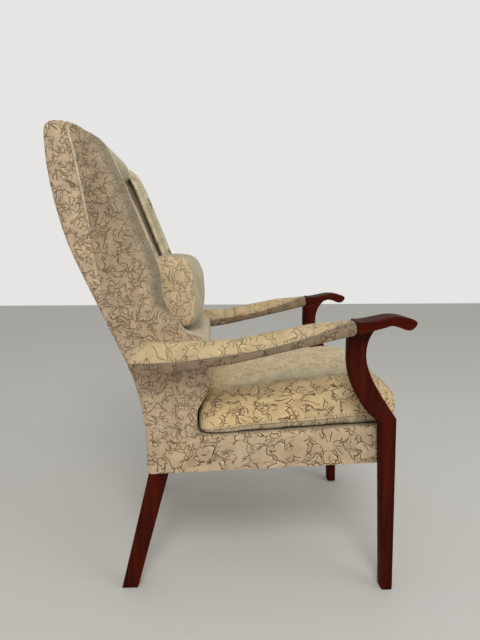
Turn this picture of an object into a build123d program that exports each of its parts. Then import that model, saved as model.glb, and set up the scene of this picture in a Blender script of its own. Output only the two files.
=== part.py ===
from build123d import *
from math import atan, cos, radians, sin, tan
import os

os.makedirs("parts", exist_ok=True)

# A high-backed fireside chair: a hardwood frame with shaped front legs and arms, an upholstered
# back with side wings, padded arms, a loose seat cushion and a cushion in the small of the back.
# Millimetres. +Z is up, the chair faces -Y and its left-hand side is +X. Distances called
# "reach" run backwards from the middle of the front feet; heights run up from the floor.

# --- Back, seen from the side ---------------------------------------------------------------
back_height = 1043.0         # top of the back above the floor
back_reach = 741.0           # rear face of the head
waist_reach = 550.0          # rear face at seat level
waist_bend_height = 450.0    # height where the back starts to lean
head_bend_height = 874.0     # height where it turns upright again
waist_bend_radius = 430.0    # bend of the rear face where it starts to lean
head_bend_radius = 620.0     # bend where it turns upright again
head_radius = 19.0           # rounding of its top rear edge
crest_run = 41.0             # level part of the top
crest_radius = 60.0
brow_radius = 22.0
brow_depth = 115.0           # depth of the head, front edge to rear face
brow_drop = 29.0             # front edge of the head below the top
wing_lead = 35.0             # wing's front edge ahead of the waist's rear face, at its bend
wing_bend_height = 748.0     # height where the wing's edge turns upright
wing_bend_radius = 60.0
wing_foot_lead = 45.0        # the same edge where it turns in to the ledge
wing_foot = 660.0
wing_foot_radius = 50.0
ledge_rear_lead = 88.0       # rear end of the ledge under the wing, ahead of the waist
ledge_front_lead = 138.0     # front end of that ledge
ledge_rear_height = 597.0
ledge_front_height = 580.0
ledge_radius = 24.0
lap_lead = 144.0             # fullest part of the lower back, ahead of the waist
lap_height = 470.0
lap_radius = 60.0
tuck_lead = 111.0            # where the lower back tucks in behind the seat cushion
tuck_height = 418.0
tuck_radius = 40.0
hollow_foot_lead = 45.0      # foot of the hollow between the wings, ahead of the waist
hollow_head_depth = 103.0    # top of the hollow ahead of the head's rear face
hollow_head_drop = 93.0      # the same below the top of the back
hollow_radius = 22.0
roll_share = 0.12            # how far down the wing's edge the head roll ends
roll_radius = 14.0

# --- Back, seen from above ------------------------------------------------------------------
seat_width = 508.0           # over the side covers; the back is as wide
ridge_foot_lead = 50.0       # ridge where the sides start to turn in, ahead of the waist
ridge_head_depth = 51.0      # the same ridge ahead of the head's rear face
toe_angle = 17.0             # how far the sides turn in towards the front, degrees
cover = 4.0                  # covering with its wadding
skin_drop = 3.0              # the same on faces that look upwards
ply = 12.0                   # wing board
wing_padding = 22.0          # padding on a wing's inner side
wing_edge_pad = 10.0         # padding ahead of the wing board's edge

# --- Frame ----------------------------------------------------------------------------------
upright_depth = 45.0         # back post, front to rear
upright_thick = 32.0         # back post, side to side
back_foot_rake = 46.5        # middle of the back foot behind the waist's rear face
back_foot_depth = 37.0
rail_thick = 22.0
top_rail_height = 60.0
cross_rail_height = 50.0
lumbar_rail_level = 640.0    # middle of the rail behind the small of the back
base_rail_level = 420.0      # middle of the rail behind the seat
webbing = 2.5                # strap thickness
lining = 1.5                 # platform and back cloth
seat_strap_width = 50.0
seat_strap_count = 6
back_strap_count = 6
rail_bearing = 10.0          # how far a strap or cloth lies on a rail or post

# --- Seat box -------------------------------------------------------------------------------
seat_front = 2.0             # front face of the front rail's cover, ahead of the foot's middle
rail_top_front = 387.0       # top of the seat box at its front
rail_low_front = 298.0       # bottom of the seat box at its front
seat_pitch = 2.9             # fall of the seat towards the back, degrees
low_pitch = 1.75             # the same along the bottom edge
hem = 2.0                    # covers hang this far below the rails
block_side = 60.0            # corner block
screw_radius = 2.5
screw_length = 30.0
dowel_radius = 5.0
dowel_depth = 18.0
dowel_rise = 30.0            # lower dowel of the leg above the seat box's bottom edge
dowel_spacing = 32.0
bolt_radius = 4.0
bolt_head = 8.0
bolt_head_height = 4.0
fit = 0.2                    # clearance round dowels, screws and bolts

# --- Front legs -----------------------------------------------------------------------------
leg_thick = 33.0             # side to side
foot_depth = 27.0            # front to rear at the floor
knee_depth = 36.0            # at the top of the straight part
knee_lead = 6.0              # knee's front edge ahead of the foot's middle
knee_height = 411.0          # top of the straight front edge
calf_height = 391.0          # top of the straight rear edge
neck_front = 40.0            # leg's front edge under the arm
neck_rear = 107.0            # its rear edge there
neck_flare = 29.0            # height over which the neck's front edge spreads
leg_sweep = 66.0             # how far the leg's front edge is swept back above the knee
sweep_height = 545.0         # where it is swept back furthest
leg_edge = 4.0               # chamfer of the leg's long edges

# --- Arms -----------------------------------------------------------------------------------
grip_reach = 28.0            # tip of the hand grip ahead of the front foot's middle
grip_height = 641.0          # top of the hand grip
grip_thick = 20.0
grip_join_thick = 28.0       # its depth where the upholstery starts
scroll_drop = 26.0           # depth of the grip's rounded tip
grip_turn = 36.0             # where the grip's underside starts to fall
grip_fall = 14.8             # its fall from there, degrees
arm_width = 64.0
arm_gap = 0.3                # arm beside the back's side cover
pad_start = 97.0             # front end of the arm's upholstery
arm_kink = 363.0             # where the arm levels out
arm_kink_low = 544.0         # underside of the pad there
arm_tail_fall = 7.1          # fall of its underside behind that, degrees
heel_length = 31.0           # where the underside turns up, ahead of the rear end
heel_rise = 20.0             # how far it turns up
arm_end_lead = 17.0          # rear end of the pad ahead of the back's rear face
arm_round = 8.0              # how far the pad narrows at its rear end
arm_band = 21.0              # upright sides of the pad
heel_band = 36.0             # the same at the heel
start_crest = 29.0           # pad's depth where it starts
front_crest = 42.0           # at a third of its slope
kink_crest = 48.0
heel_crest = 67.0
foam_start = 33.0            # foam behind the start of the pad
board_thick = 20.0           # arm board under the pad
board_margin = 7.0           # board inside the pad's sides
board_rear_margin = 10.0     # board inside the pad's rear end

# --- Cushions -------------------------------------------------------------------------------
cushion_margin = 12.0        # cushion's sides inside the side covers
cushion_nose = 24.0          # front of the cushion ahead of the foot's middle
cushion_rear_gap = 19.0      # its rear edge ahead of the lower back
cushion_crown = 96.0         # crown above the piped seam
border_front = 31.0          # piped seam above the seat box's top at the front
seam_pitch = 5.4             # fall of that seam towards the back, degrees
crown_draw = 22.0            # how far the sides draw in above the seam
core_thick = 40.0            # foam core
core_margin = 36.0           # core inside the cushion's edges
piping_radius = 4.0
corner_radius = 34.0         # cushion's corners, seen from above
seat_clear = 0.3             # cushion above the seat and beside its piping
lumbar_margin = 76.0         # lumbar cushion's ends inside the side covers
lumbar_low = 596.0           # underside of the lumbar cushion
lumbar_high = 772.0
lumbar_lead = 131.0          # its front face ahead of the waist
lumbar_draw = 14.0           # how far its ends draw in
lumbar_clear = 0.5           # behind the cushion
lumbar_core_margin = 22.0
lumbar_sole_lead = 37.0      # its underside and top start this far behind its front face
lumbar_heel = 24.0           # how far its lower rear corner is cut off
lumbar_slant = 12.0          # fall of its top towards the rear
lumbar_brow_drop = 38.0      # upper end of its front face below the top
lumbar_chin = 62.0           # lower end of its front face above the underside
lumbar_edge = 10.0
lumbar_round = 24.0

# --- Worked-out places ----------------------------------------------------------------------
back_lean = (back_reach - waist_reach) / (head_bend_height - waist_bend_height)
arm_end = waist_reach + (arm_kink_low - waist_bend_height) * back_lean - arm_end_lead
arm_heel = arm_end - heel_length
back_foot_reach = waist_reach + back_foot_rake
cushion_width = seat_width - 2 * cushion_margin
cushion_rear = waist_reach - tuck_lead - cushion_rear_gap
seam_front = rail_top_front + border_front
lumbar_width = seat_width - 2 * lumbar_margin
middle = (back_reach - grip_reach) / 2     # the origin lies halfway between grip tip and head
seat_half = seat_width / 2
frame_half = seat_half - cover             # outer face of rails and posts
rail_in = frame_half - rail_thick
upright_in = frame_half - upright_thick
box_front = -seat_front                    # front face of the seat box, as a reach
far = 2000.0                 # past every outline


def side(x):
    """Upright plane facing +X: its own x is the reach, its own y the height."""
    return Plane(origin=(x, -middle, 0), x_dir=(0, 1, 0), z_dir=(1, 0, 0))


def across(reach):
    """Upright plane facing the front: its own x is the chair's X, its own y the height."""
    return Plane(origin=(0, reach - middle, 0), x_dir=(1, 0, 0), z_dir=(0, -1, 0))


def rail_top(reach):
    return rail_top_front - (reach - box_front) * tan(radians(seat_pitch))


def rail_low(reach):
    return rail_low_front - (reach - box_front) * tan(radians(low_pitch))


def seam(reach):
    return seam_front - (reach + cushion_nose) * tan(radians(seam_pitch))


def region(points, radii=0.0):
    """Flat region inside a closed outline of straight runs and rounded corners."""
    with BuildSketch() as flat:
        with BuildLine():
            FilletPolyline(*points, radius=radii, close=True)
        make_face()
    return flat.sketch


def keep(name, piece):
    piece.part.label = name
    export_step(piece.part, f"parts/{name}.step")


def keep_pair(name, left):
    keep(f"{name}_left", left)
    with BuildPart() as right:
        mirror(left.part, about=Plane.YZ)
    keep(f"{name}_right", right)


# --- Outlines of the back -------------------------------------------------------------------
def rear_line(depth):
    """Rear face moved forward by a depth, from below the floor of the seat to over the head."""
    return [
        (waist_reach - depth, 0),
        (waist_reach - depth, waist_bend_height),
        (back_reach - depth, head_bend_height),
        (back_reach - depth, far),
    ]


def ahead_of(depth):
    """Region ahead of the rear face moved forward by a depth."""
    points = rear_line(depth) + [(-far, far), (-far, 0)]
    return region(points, [0, waist_bend_radius, head_bend_radius, 0, 0, 0])


def shifted(flat, amount):
    """What lies under a layer: so deep on the front, and on top in the covering's own ratio."""
    drop = amount * skin_drop / cover
    return flat.moved(Location((amount, -drop))) & flat.moved(Location((0, -drop)))


brow = (back_reach - brow_depth, back_height - brow_drop)
wing_top = (waist_reach - wing_lead, wing_bend_height)
wing_low = (waist_reach - wing_foot_lead, wing_foot)
ledge_rear = (waist_reach - ledge_rear_lead, ledge_rear_height)
ledge_front = (waist_reach - ledge_front_lead, ledge_front_height)
ledge_slope = (ledge_rear[1] - ledge_front[1]) / (ledge_rear[0] - ledge_front[0])
hollow_foot = (
    waist_reach - hollow_foot_lead,
    ledge_rear_height + (ledge_rear_lead - hollow_foot_lead) * ledge_slope,
)
hollow_head = (back_reach - hollow_head_depth, back_height - hollow_head_drop)
roll_end = (
    brow[0] + (wing_top[0] - brow[0]) * roll_share,
    brow[1] + (wing_top[1] - brow[1]) * roll_share,
)
head = [
    (back_reach, 0),
    (back_reach, back_height),
    (back_reach - crest_run, back_height),
    brow,
]
head_radii = [0, head_radius, crest_radius, brow_radius]
lower_front = [
    ledge_front,
    (waist_reach - lap_lead, lap_height),
    (waist_reach - tuck_lead, tuck_height),
    (waist_reach - tuck_lead, 0),
]
lower_front_radii = [ledge_radius, lap_radius, tuck_radius, 0]
# Whole side of the back with its wings, and the same without them, down to the hollow.
wing_side = ahead_of(0) & region(
    head + [wing_top, wing_low, ledge_rear] + lower_front,
    head_radii + [wing_bend_radius, wing_foot_radius, ledge_radius] + lower_front_radii,
)
back_side = ahead_of(0) & region(
    head + [roll_end, hollow_head, hollow_foot] + lower_front,
    head_radii + [roll_radius, hollow_radius, ledge_radius] + lower_front_radii,
)
above_rails = region([(-far, rail_top(-far)), (far, rail_top(far)), (far, far), (-far, far)])
above_hem = region([(-far, rail_low(-far)), (far, rail_low(far)), (far, far), (-far, far)])
ridge_foot = (waist_reach - ridge_foot_lead, rail_top(waist_reach))
ridge_head = (back_reach - ridge_head_depth, back_height)
ridge_slope = (ridge_head[0] - ridge_foot[0]) / (ridge_head[1] - ridge_foot[1])
ridge_floor = ridge_foot[0] - ridge_slope * ridge_foot[1]
ahead_of_ridge = region([
    (ridge_floor, 0),
    (ridge_floor + ridge_slope * far, far),
    (-far, far),
    (-far, 0),
])
front_skin_zone = ahead_of(cover + upright_depth)


def toe_plane(depth):
    """Plane of the left side ahead of its ridge, moved inwards by a depth; it faces outwards."""
    lean = atan(ridge_slope)
    up = Vector(0, sin(lean), cos(lean))
    back = Vector(0, cos(lean), -sin(lean))
    out = Vector(1, 0, 0) * cos(radians(toe_angle)) - back * sin(radians(toe_angle))
    foot = Vector(seat_half, ridge_foot[0] - middle, ridge_foot[1])
    return Plane(origin=foot - out * depth, x_dir=up, z_dir=out)


def toe_plane_right(depth):
    left = toe_plane(depth)
    origin = Vector(-left.origin.X, left.origin.Y, left.origin.Z)
    out = Vector(-left.z_dir.X, left.z_dir.Y, left.z_dir.Z)
    return Plane(origin=origin, x_dir=left.x_dir, z_dir=out)


# --- Back posts: each is one sawn piece from the floor to the head -----------------------------
post_band = ahead_of(cover) - ahead_of(cover + upright_depth)
post_top = back_height - 2 * cover
post_splice = rail_low(waist_reach)
post_clip = region([(0, post_splice), (far, post_splice), (far, post_top), (0, post_top)])
back_foot = region([
    (back_foot_reach - back_foot_depth / 2, 0),
    (back_foot_reach + back_foot_depth / 2, 0),
    (waist_reach - cover, post_splice),
    (waist_reach - cover - upright_depth, post_splice),
])
head_inset = shifted(wing_side, cover)
with BuildPart() as back_post:
    with BuildSketch(side(upright_in)):
        add(post_band)
        add(post_clip, mode=Mode.INTERSECT)
        add(head_inset, mode=Mode.INTERSECT)
        add(back_foot)
    extrude(amount=upright_thick)
    split(bisect_by=toe_plane(cover), keep=Keep.BOTTOM)

# --- Cross rails of the back, between the posts ------------------------------------------------
rail_band = ahead_of(cover + rail_thick / 2) - ahead_of(cover + rail_thick * 1.5)
cross_rails = {
    "back_top_rail": (back_height - 2 * cover - top_rail_height, top_rail_height),
    "back_lumbar_rail": (lumbar_rail_level - cross_rail_height / 2, cross_rail_height),
    "back_base_rail": (base_rail_level - cross_rail_height / 2, cross_rail_height),
}
for rail_name, (low, height) in cross_rails.items():
    rail_clip = region([(0, low), (far, low), (far, low + height), (0, low + height)])
    with BuildPart() as cross_rail:
        with BuildSketch(side(-upright_in)):
            add(rail_band)
            add(rail_clip, mode=Mode.INTERSECT)
            add(head_inset, mode=Mode.INTERSECT)
        extrude(amount=2 * upright_in)
    keep(rail_name, cross_rail)

# --- Seat rails --------------------------------------------------------------------------------
leg_dowel_places = [
    (box_front + cover + rail_thick / 2, rail_low_front + dowel_rise),
    (box_front + cover + rail_thick / 2, rail_low_front + dowel_rise + dowel_spacing),
]
rail_drop = webbing + lining                # straps and cloth lie on the rails
post_face = waist_reach - cover - upright_depth
with BuildPart() as side_rail:
    with BuildSketch(side(rail_in)):
        with BuildLine():
            Polyline(
                (box_front + cover, rail_low(box_front + cover) + hem),
                (post_face, rail_low(post_face) + hem),
                (post_face, rail_top(post_face) - rail_drop),
                (box_front + cover, rail_top(box_front + cover) - rail_drop),
                close=True,
            )
        make_face()
    extrude(amount=rail_thick)
    with Locations(*[
        Plane(origin=(rail_in, dowel_y - middle, dowel_z), z_dir=(1, 0, 0))
        for dowel_y, dowel_z in leg_dowel_places
    ]):
        Cylinder(
            dowel_radius + fit, rail_thick * 2, align=(Align.CENTER, Align.CENTER, Align.CENTER),
            mode=Mode.SUBTRACT,
        )

front_rail_faces = (box_front + cover, box_front + cover + rail_thick)
back_rail_faces = (waist_reach - cover - rail_thick * 1.5, waist_reach - cover - rail_thick / 2)
for rail_name, faces, half in [
    ("front_rail", front_rail_faces, rail_in),
    ("back_rail", back_rail_faces, upright_in),
]:
    with BuildPart() as seat_rail:
        with BuildSketch(side(-half)):
            with BuildLine():
                Polyline(
                    (faces[0], rail_low(faces[0]) + hem),
                    (faces[1], rail_low(faces[1]) + hem),
                    (faces[1], rail_top(faces[1]) - rail_drop),
                    (faces[0], rail_top(faces[0]) - rail_drop),
                    close=True,
                )
            make_face()
        extrude(amount=2 * half)
    if rail_name == "front_rail":
        front_rail_blank = seat_rail.part
    else:
        keep(rail_name, seat_rail)

# --- Front leg: straight below the knee, swept back and forward again above it -------------------
def board_low(reach):
    """Underside of the arm board."""
    return grip_height - grip_thick - max(0.0, reach - grip_turn) * tan(radians(grip_fall))


foot_front = -foot_depth / 2
foot_rear = foot_depth / 2
knee_front = -knee_lead
knee_rear = knee_depth - knee_lead
sweep_climb = sweep_height - knee_height
rear_sweep = neck_rear - knee_rear
rear_climb = sweep_height - calf_height
with BuildPart() as front_leg:
    with BuildSketch(side(seat_half)):
        with BuildLine():
            Line((foot_rear, 0), (foot_front, 0))
            Line((foot_front, 0), (knee_front, knee_height))
            Spline(
                (knee_front, knee_height),
                (knee_front + leg_sweep * 0.38, knee_height + sweep_climb * 0.27),
                (knee_front + leg_sweep * 0.86, knee_height + sweep_climb * 0.67),
                (knee_front + leg_sweep + knee_lead, sweep_height),
                (neck_front + leg_sweep * 0.32, board_low(neck_front) - neck_flare),
                (neck_front, board_low(neck_front)),
            )
            Line((neck_front, board_low(neck_front)), (neck_rear, board_low(neck_rear)))
            Spline(
                (neck_rear, board_low(neck_rear)),
                (neck_rear, sweep_height),
                (knee_rear + rear_sweep * 0.87, calf_height + rear_climb * 0.67),
                (knee_rear + rear_sweep * 0.51, calf_height + rear_climb * 0.33),
                (knee_rear + rear_sweep * 0.23, calf_height + rear_climb * 0.16),
                (knee_rear, calf_height),
                tangents=[(0, -1), (foot_rear - knee_rear, -calf_height)],
            )
            Line((knee_rear, calf_height), (foot_rear, 0))
        make_face()
    extrude(amount=leg_thick)
    outline = front_leg.faces().filter_by(Axis.X).edges()
    long_edges = [
        edge for edge in outline if leg_edge < edge.center().Z < board_low(neck_rear) - leg_edge
    ]
    chamfer(long_edges, leg_edge)
    with Locations(*[
        Plane(origin=(seat_half, dowel_y - middle, dowel_z), z_dir=(1, 0, 0))
        for dowel_y, dowel_z in leg_dowel_places
    ]):
        Cylinder(
            dowel_radius + fit, 2 * dowel_depth, mode=Mode.SUBTRACT,
            align=(Align.CENTER, Align.CENTER, Align.CENTER),
        )

# --- Dowels that hold each front leg to its side rail --------------------------------------------
with BuildPart() as leg_dowels:
    with Locations(*[
        Plane(origin=(seat_half + dowel_depth, dowel_y - middle, dowel_z), z_dir=(-1, 0, 0))
        for dowel_y, dowel_z in leg_dowel_places
    ]):
        Cylinder(
            dowel_radius, dowel_depth * 2 + cover,
            align=(Align.CENTER, Align.CENTER, Align.MIN),
        )
    mirror(leg_dowels.part, about=Plane.YZ)
keep("leg_dowels", leg_dowels)

# --- Arm board: a show-wood hand grip in one piece with the board under the arm's pad ------------
pad_low_start = board_low(pad_start)
pad_fall = (pad_low_start - arm_kink_low) / (arm_kink - pad_start)


def pad_base(reach):
    """Underside of the arm's upholstery, level with the grip where it starts, but for its heel."""
    drop = min(reach, arm_kink) - pad_start
    rest = max(reach - arm_kink, 0.0)
    return pad_low_start - drop * pad_fall - rest * tan(radians(arm_tail_fall))


def pad_low(reach):
    """The same with its heel, which turns up towards the rear end."""
    into = max(0.0, reach - arm_heel) / (arm_end - arm_heel)
    return pad_base(reach) + heel_rise * into ** 1.6


arm_in = seat_half + arm_gap
arm_out = arm_in + arm_width
board_in = arm_in + board_margin
board_out = arm_out - board_margin
board_end = arm_end - board_rear_margin
grip_join = board_low(pad_start) + grip_join_thick
with BuildPart() as arm_board:
    with BuildSketch(side(arm_in)):
        with BuildLine():
            Spline(
                (pad_start, grip_join),
                (grip_turn, grip_height),
                (-grip_reach + grip_thick, grip_height),
                (-grip_reach, grip_height - scroll_drop * 0.45),
                (-grip_reach + grip_thick * 0.6, grip_height - scroll_drop),
                (grip_turn - 1.5 * grip_thick, grip_height - grip_thick * 1.1),
                (grip_turn, board_low(grip_turn)),
            )
            Line((grip_turn, board_low(grip_turn)), (pad_start, pad_low_start))
            Line((pad_start, pad_low_start), (pad_start, grip_join))
        make_face()
    extrude(amount=arm_width)
    with BuildSketch(side(board_in)):
        with BuildLine():
            Polyline(
                (pad_start - 1, pad_base(pad_start) + cover),
                (arm_kink, pad_base(arm_kink) + cover),
                (arm_heel, pad_base(arm_heel) + cover),
                (board_end, pad_low(board_end) + cover),
                (board_end, pad_base(board_end) + cover + board_thick),
                (arm_kink, pad_base(arm_kink) + cover + board_thick),
                (pad_start - 1, pad_base(pad_start) + cover + board_thick),
                close=True,
            )
        make_face()
    extrude(amount=board_out - board_in)

# --- Arm pad: foam on the board, and its cover all round ------------------------------------------
# Stations along the arm: reach, depth of the side band, crest above the underside.
pad_run = arm_kink - pad_start
start_rise = (front_crest - start_crest) * foam_start / (pad_run * 0.35)
arm_stations = [
    (pad_start, arm_band, start_crest),
    (pad_start + foam_start, arm_band, start_crest + start_rise),
    (pad_start + pad_run * 0.35, arm_band, front_crest),
    (arm_kink, arm_band, kink_crest),
    ((arm_kink + arm_heel) / 2, (arm_band + heel_band) / 2, (kink_crest + heel_crest) / 2),
    (arm_heel, heel_band, heel_crest),
    (board_end, heel_band * 0.7, heel_crest * 0.72),
    (arm_end, heel_band * 0.28, heel_crest * 0.4),
]


def arm_section(reach, band, crest, inset=0.0, low=0.0, skin=0.0):
    """Section of the arm, or of what lies inside it: flat underside, upright band, domed top."""
    pull = arm_round if reach == arm_end else 0.0
    left = arm_in + inset
    right = arm_out - inset - pull
    base = pad_low(reach) + low
    shoulder = pad_low(reach) + max(band, low + 0.5)
    top = pad_low(reach) + crest - skin
    with BuildSketch(across(reach)) as cut:
        with BuildLine():
            Line((left, base), (right, base))
            Line((right, base), (right, shoulder))
            ThreePointArc((right, shoulder), ((left + right) / 2, top), (left, shoulder))
            Line((left, shoulder), (left, base))
        make_face()
    return cut.sketch


with BuildPart() as arm_form:
    loft([arm_section(*station) for station in arm_stations], ruled=True)
with BuildPart() as arm_foam:
    loft(
        [arm_section(*station, board_margin, cover + board_thick, cover)
         for station in arm_stations[1:-1]],
        ruled=True,
    )
with BuildPart() as arm_cover:
    add(arm_form.part)
    add(arm_foam.part, mode=Mode.SUBTRACT)
    add(arm_board.part, mode=Mode.SUBTRACT)

# --- Straps and cloth of the back -------------------------------------------------------------
strap_depth = cover + upright_depth + webbing
cloth_depth = strap_depth + lining
strap_band = ahead_of(cover + upright_depth) - ahead_of(strap_depth)
cloth_band = ahead_of(strap_depth) - ahead_of(cloth_depth)
back_span = upright_in + rail_bearing
strap_low = base_rail_level
strap_high = post_top - top_rail_height
with BuildPart() as back_straps:
    for index in range(back_strap_count):
        low = strap_low + index * (strap_high - strap_low) / (back_strap_count - 1)
        with BuildSketch(side(-back_span)):
            add(strap_band)
            add(region([(0, low), (far, low), (far, low + seat_strap_width),
                        (0, low + seat_strap_width)]), mode=Mode.INTERSECT)
        extrude(amount=2 * back_span)
keep("back_straps", back_straps)

cloth_low = base_rail_level - cross_rail_height / 2
with BuildPart() as back_cloth:
    with BuildSketch(side(-back_span)):
        add(cloth_band)
        add(region([(0, cloth_low), (far, cloth_low), (far, post_top - 10), (0, post_top - 10)]),
            mode=Mode.INTERSECT)
    extrude(amount=2 * back_span)
keep("back_cloth", back_cloth)

# --- Padding and covers of the back -------------------------------------------------------------
wing_zone = wing_side - back_side
wing_inset = shifted(wing_side, cover)
board_inset = shifted(wing_side, cover + wing_edge_pad)
skin_in = cover + ply + wing_padding

with BuildPart() as back_foam:
    with BuildSketch(side(-seat_half)):
        add(back_side)
        add(shifted(back_side, cover), mode=Mode.INTERSECT)
        add(ahead_of(cloth_depth), mode=Mode.INTERSECT)
        add(above_rails, mode=Mode.INTERSECT)
    extrude(amount=seat_width)
    split(bisect_by=toe_plane(cover + ply), keep=Keep.BOTTOM)
    split(bisect_by=toe_plane_right(cover + ply), keep=Keep.BOTTOM)
keep("back_foam", back_foam)

with BuildPart() as wing_board:
    with BuildSketch(side(0)):
        add(wing_side)
        add(board_inset, mode=Mode.INTERSECT)
        add(front_skin_zone, mode=Mode.INTERSECT)
        add(above_rails, mode=Mode.INTERSECT)
    extrude(amount=frame_half)
    split(bisect_by=toe_plane(cover), keep=Keep.BOTTOM)
    split(bisect_by=toe_plane(cover + ply), keep=Keep.TOP)
keep_pair("wing_board", wing_board)

with BuildPart() as wing_edge:
    with BuildSketch(side(0)):
        add(wing_side)
        add(wing_inset, mode=Mode.INTERSECT)
        add(front_skin_zone, mode=Mode.INTERSECT)
        add(above_rails, mode=Mode.INTERSECT)
        add(board_inset, mode=Mode.SUBTRACT)
    extrude(amount=frame_half)
    split(bisect_by=toe_plane(cover), keep=Keep.BOTTOM)
    split(bisect_by=toe_plane(cover + ply), keep=Keep.TOP)
with BuildPart() as wing_pad:
    with BuildSketch(side(0)):
        add(wing_zone)
        add(wing_inset, mode=Mode.INTERSECT)
    extrude(amount=frame_half)
    split(bisect_by=toe_plane(cover + ply), keep=Keep.BOTTOM)
    split(bisect_by=toe_plane(skin_in), keep=Keep.TOP)
    add(wing_edge.part)
keep_pair("wing_pad", wing_pad)

with BuildPart() as wing_edge_skin:
    with BuildSketch(side(0)):
        add(wing_zone)
        add(wing_inset, mode=Mode.SUBTRACT)
    extrude(amount=seat_half)
    split(bisect_by=toe_plane(cover), keep=Keep.BOTTOM)
    split(bisect_by=toe_plane(skin_in), keep=Keep.TOP)
with BuildPart() as inside_wing_cover:
    with BuildSketch(side(0)):
        add(wing_zone)
    extrude(amount=seat_half)
    split(bisect_by=toe_plane(skin_in), keep=Keep.BOTTOM)
    split(bisect_by=toe_plane(skin_in + cover), keep=Keep.TOP)
    add(wing_edge_skin.part)
keep_pair("inside_wing_cover", inside_wing_cover)

with BuildPart() as edge_skin:
    with BuildSketch(side(-seat_half)):
        add(wing_side)
        add(wing_inset, mode=Mode.SUBTRACT)
        add(wing_zone, mode=Mode.SUBTRACT)
        add(front_skin_zone, mode=Mode.INTERSECT)
        add(above_rails, mode=Mode.INTERSECT)
    extrude(amount=seat_width)
    split(bisect_by=toe_plane(cover), keep=Keep.BOTTOM)
    split(bisect_by=toe_plane_right(cover), keep=Keep.BOTTOM)
with BuildPart() as inside_back_cover:
    with BuildSketch(side(-seat_half)):
        add(back_side)
        add(shifted(back_side, cover), mode=Mode.SUBTRACT)
        add(front_skin_zone, mode=Mode.INTERSECT)
        add(above_rails, mode=Mode.INTERSECT)
    extrude(amount=seat_width)
    split(bisect_by=toe_plane(cover + ply), keep=Keep.BOTTOM)
    split(bisect_by=toe_plane_right(cover + ply), keep=Keep.BOTTOM)
    add(edge_skin.part)
keep("inside_back_cover", inside_back_cover)

with BuildPart() as outside_wing_cover:
    with BuildSketch(side(0)):
        add(wing_side)
        add(ahead_of_ridge, mode=Mode.INTERSECT)
        add(above_rails, mode=Mode.INTERSECT)
    extrude(amount=seat_half + cover)
    split(bisect_by=toe_plane(0), keep=Keep.BOTTOM)
    split(bisect_by=toe_plane(cover), keep=Keep.TOP)

with BuildPart() as back_border:
    with BuildSketch(side(frame_half)):
        add(wing_side)
        add(wing_inset, mode=Mode.INTERSECT)
        add(ahead_of_ridge, mode=Mode.SUBTRACT)
        add(ahead_of(cover), mode=Mode.INTERSECT)
        add(above_rails, mode=Mode.INTERSECT)
    extrude(amount=cover)

with BuildPart() as outside_back_cover:
    with BuildSketch(side(-seat_half)):
        add(wing_side)
        add(wing_inset, mode=Mode.SUBTRACT)
        add(front_skin_zone, mode=Mode.SUBTRACT)
        add(above_hem, mode=Mode.INTERSECT)
    extrude(amount=seat_width)
    with BuildSketch(side(-seat_half)):
        add(wing_side)
        add(ahead_of(cover), mode=Mode.SUBTRACT)
        add(above_hem, mode=Mode.INTERSECT)
    extrude(amount=seat_width)
keep("outside_back_cover", outside_back_cover)

# --- Seat straps, platform cloth, covers of the rails, cloth under the seat -----------------------
strap_reach_first = front_rail_faces[1] + 12
strap_reach_last = post_face - 12 - seat_strap_width
seat_span = rail_in + rail_bearing


def seat_layer(start, end, low, high):
    """Slice of the seat, seen from the side, between two depths under its top."""
    return region([
        (start, rail_top(start) - low),
        (end, rail_top(end) - low),
        (end, rail_top(end) - high),
        (start, rail_top(start) - high),
    ])


with BuildPart() as seat_straps:
    for index in range(seat_strap_count):
        start = strap_reach_first
        start += index * (strap_reach_last - strap_reach_first) / (seat_strap_count - 1)
        with BuildSketch(side(-seat_span)):
            add(seat_layer(start, start + seat_strap_width, rail_drop, lining))
        extrude(amount=2 * seat_span)
keep("seat_straps", seat_straps)

flange_in = seat_span + 1
front_flange = box_front + cover + rail_bearing
with BuildPart() as platform_cloth:
    with BuildSketch(side(-seat_span)):
        add(seat_layer(front_flange, post_face, lining, 0))
    extrude(amount=2 * seat_span)
    with BuildSketch(side(-upright_in)):
        add(seat_layer(post_face, back_rail_faces[0] + rail_bearing, lining, 0))
    extrude(amount=2 * upright_in)
keep("platform_cloth", platform_cloth)

with BuildPart() as side_rail_cover:
    with BuildSketch(side(frame_half)):
        add(above_hem)
        add(above_rails, mode=Mode.SUBTRACT)
        add(region([(box_front, 0), (waist_reach - cover, 0), (waist_reach - cover, far),
                    (box_front, far)]), mode=Mode.INTERSECT)
    extrude(amount=cover)
    with BuildSketch(side(flange_in)):
        add(seat_layer(box_front + cover, post_face, rail_drop, 0))
    extrude(amount=frame_half - flange_in)
    with Locations(*[
        Plane(origin=(frame_half, dowel_y - middle, dowel_z), z_dir=(1, 0, 0))
        for dowel_y, dowel_z in leg_dowel_places
    ]):
        Cylinder(
            dowel_radius + fit, 4 * cover, mode=Mode.SUBTRACT,
            align=(Align.CENTER, Align.CENTER, Align.CENTER),
        )

with BuildPart() as front_rail_cover:
    with BuildSketch(side(-frame_half)):
        add(above_hem)
        add(above_rails, mode=Mode.SUBTRACT)
        add(region([(box_front, 0), (box_front + cover, 0), (box_front + cover, far),
                    (box_front, far)]), mode=Mode.INTERSECT)
    extrude(amount=2 * frame_half)
    with BuildSketch(side(-flange_in)):
        add(seat_layer(box_front + cover, front_flange, rail_drop, 0))
    extrude(amount=2 * flange_in)
keep("front_rail_cover", front_rail_cover)


def hem_layer(start, end):
    """Cloth under the rails, inside the covers' hems, seen from the side."""
    return region([
        (start, rail_low(start) + hem - lining),
        (end, rail_low(end) + hem - lining),
        (end, rail_low(end) + hem),
        (start, rail_low(start) + hem),
    ])


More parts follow.
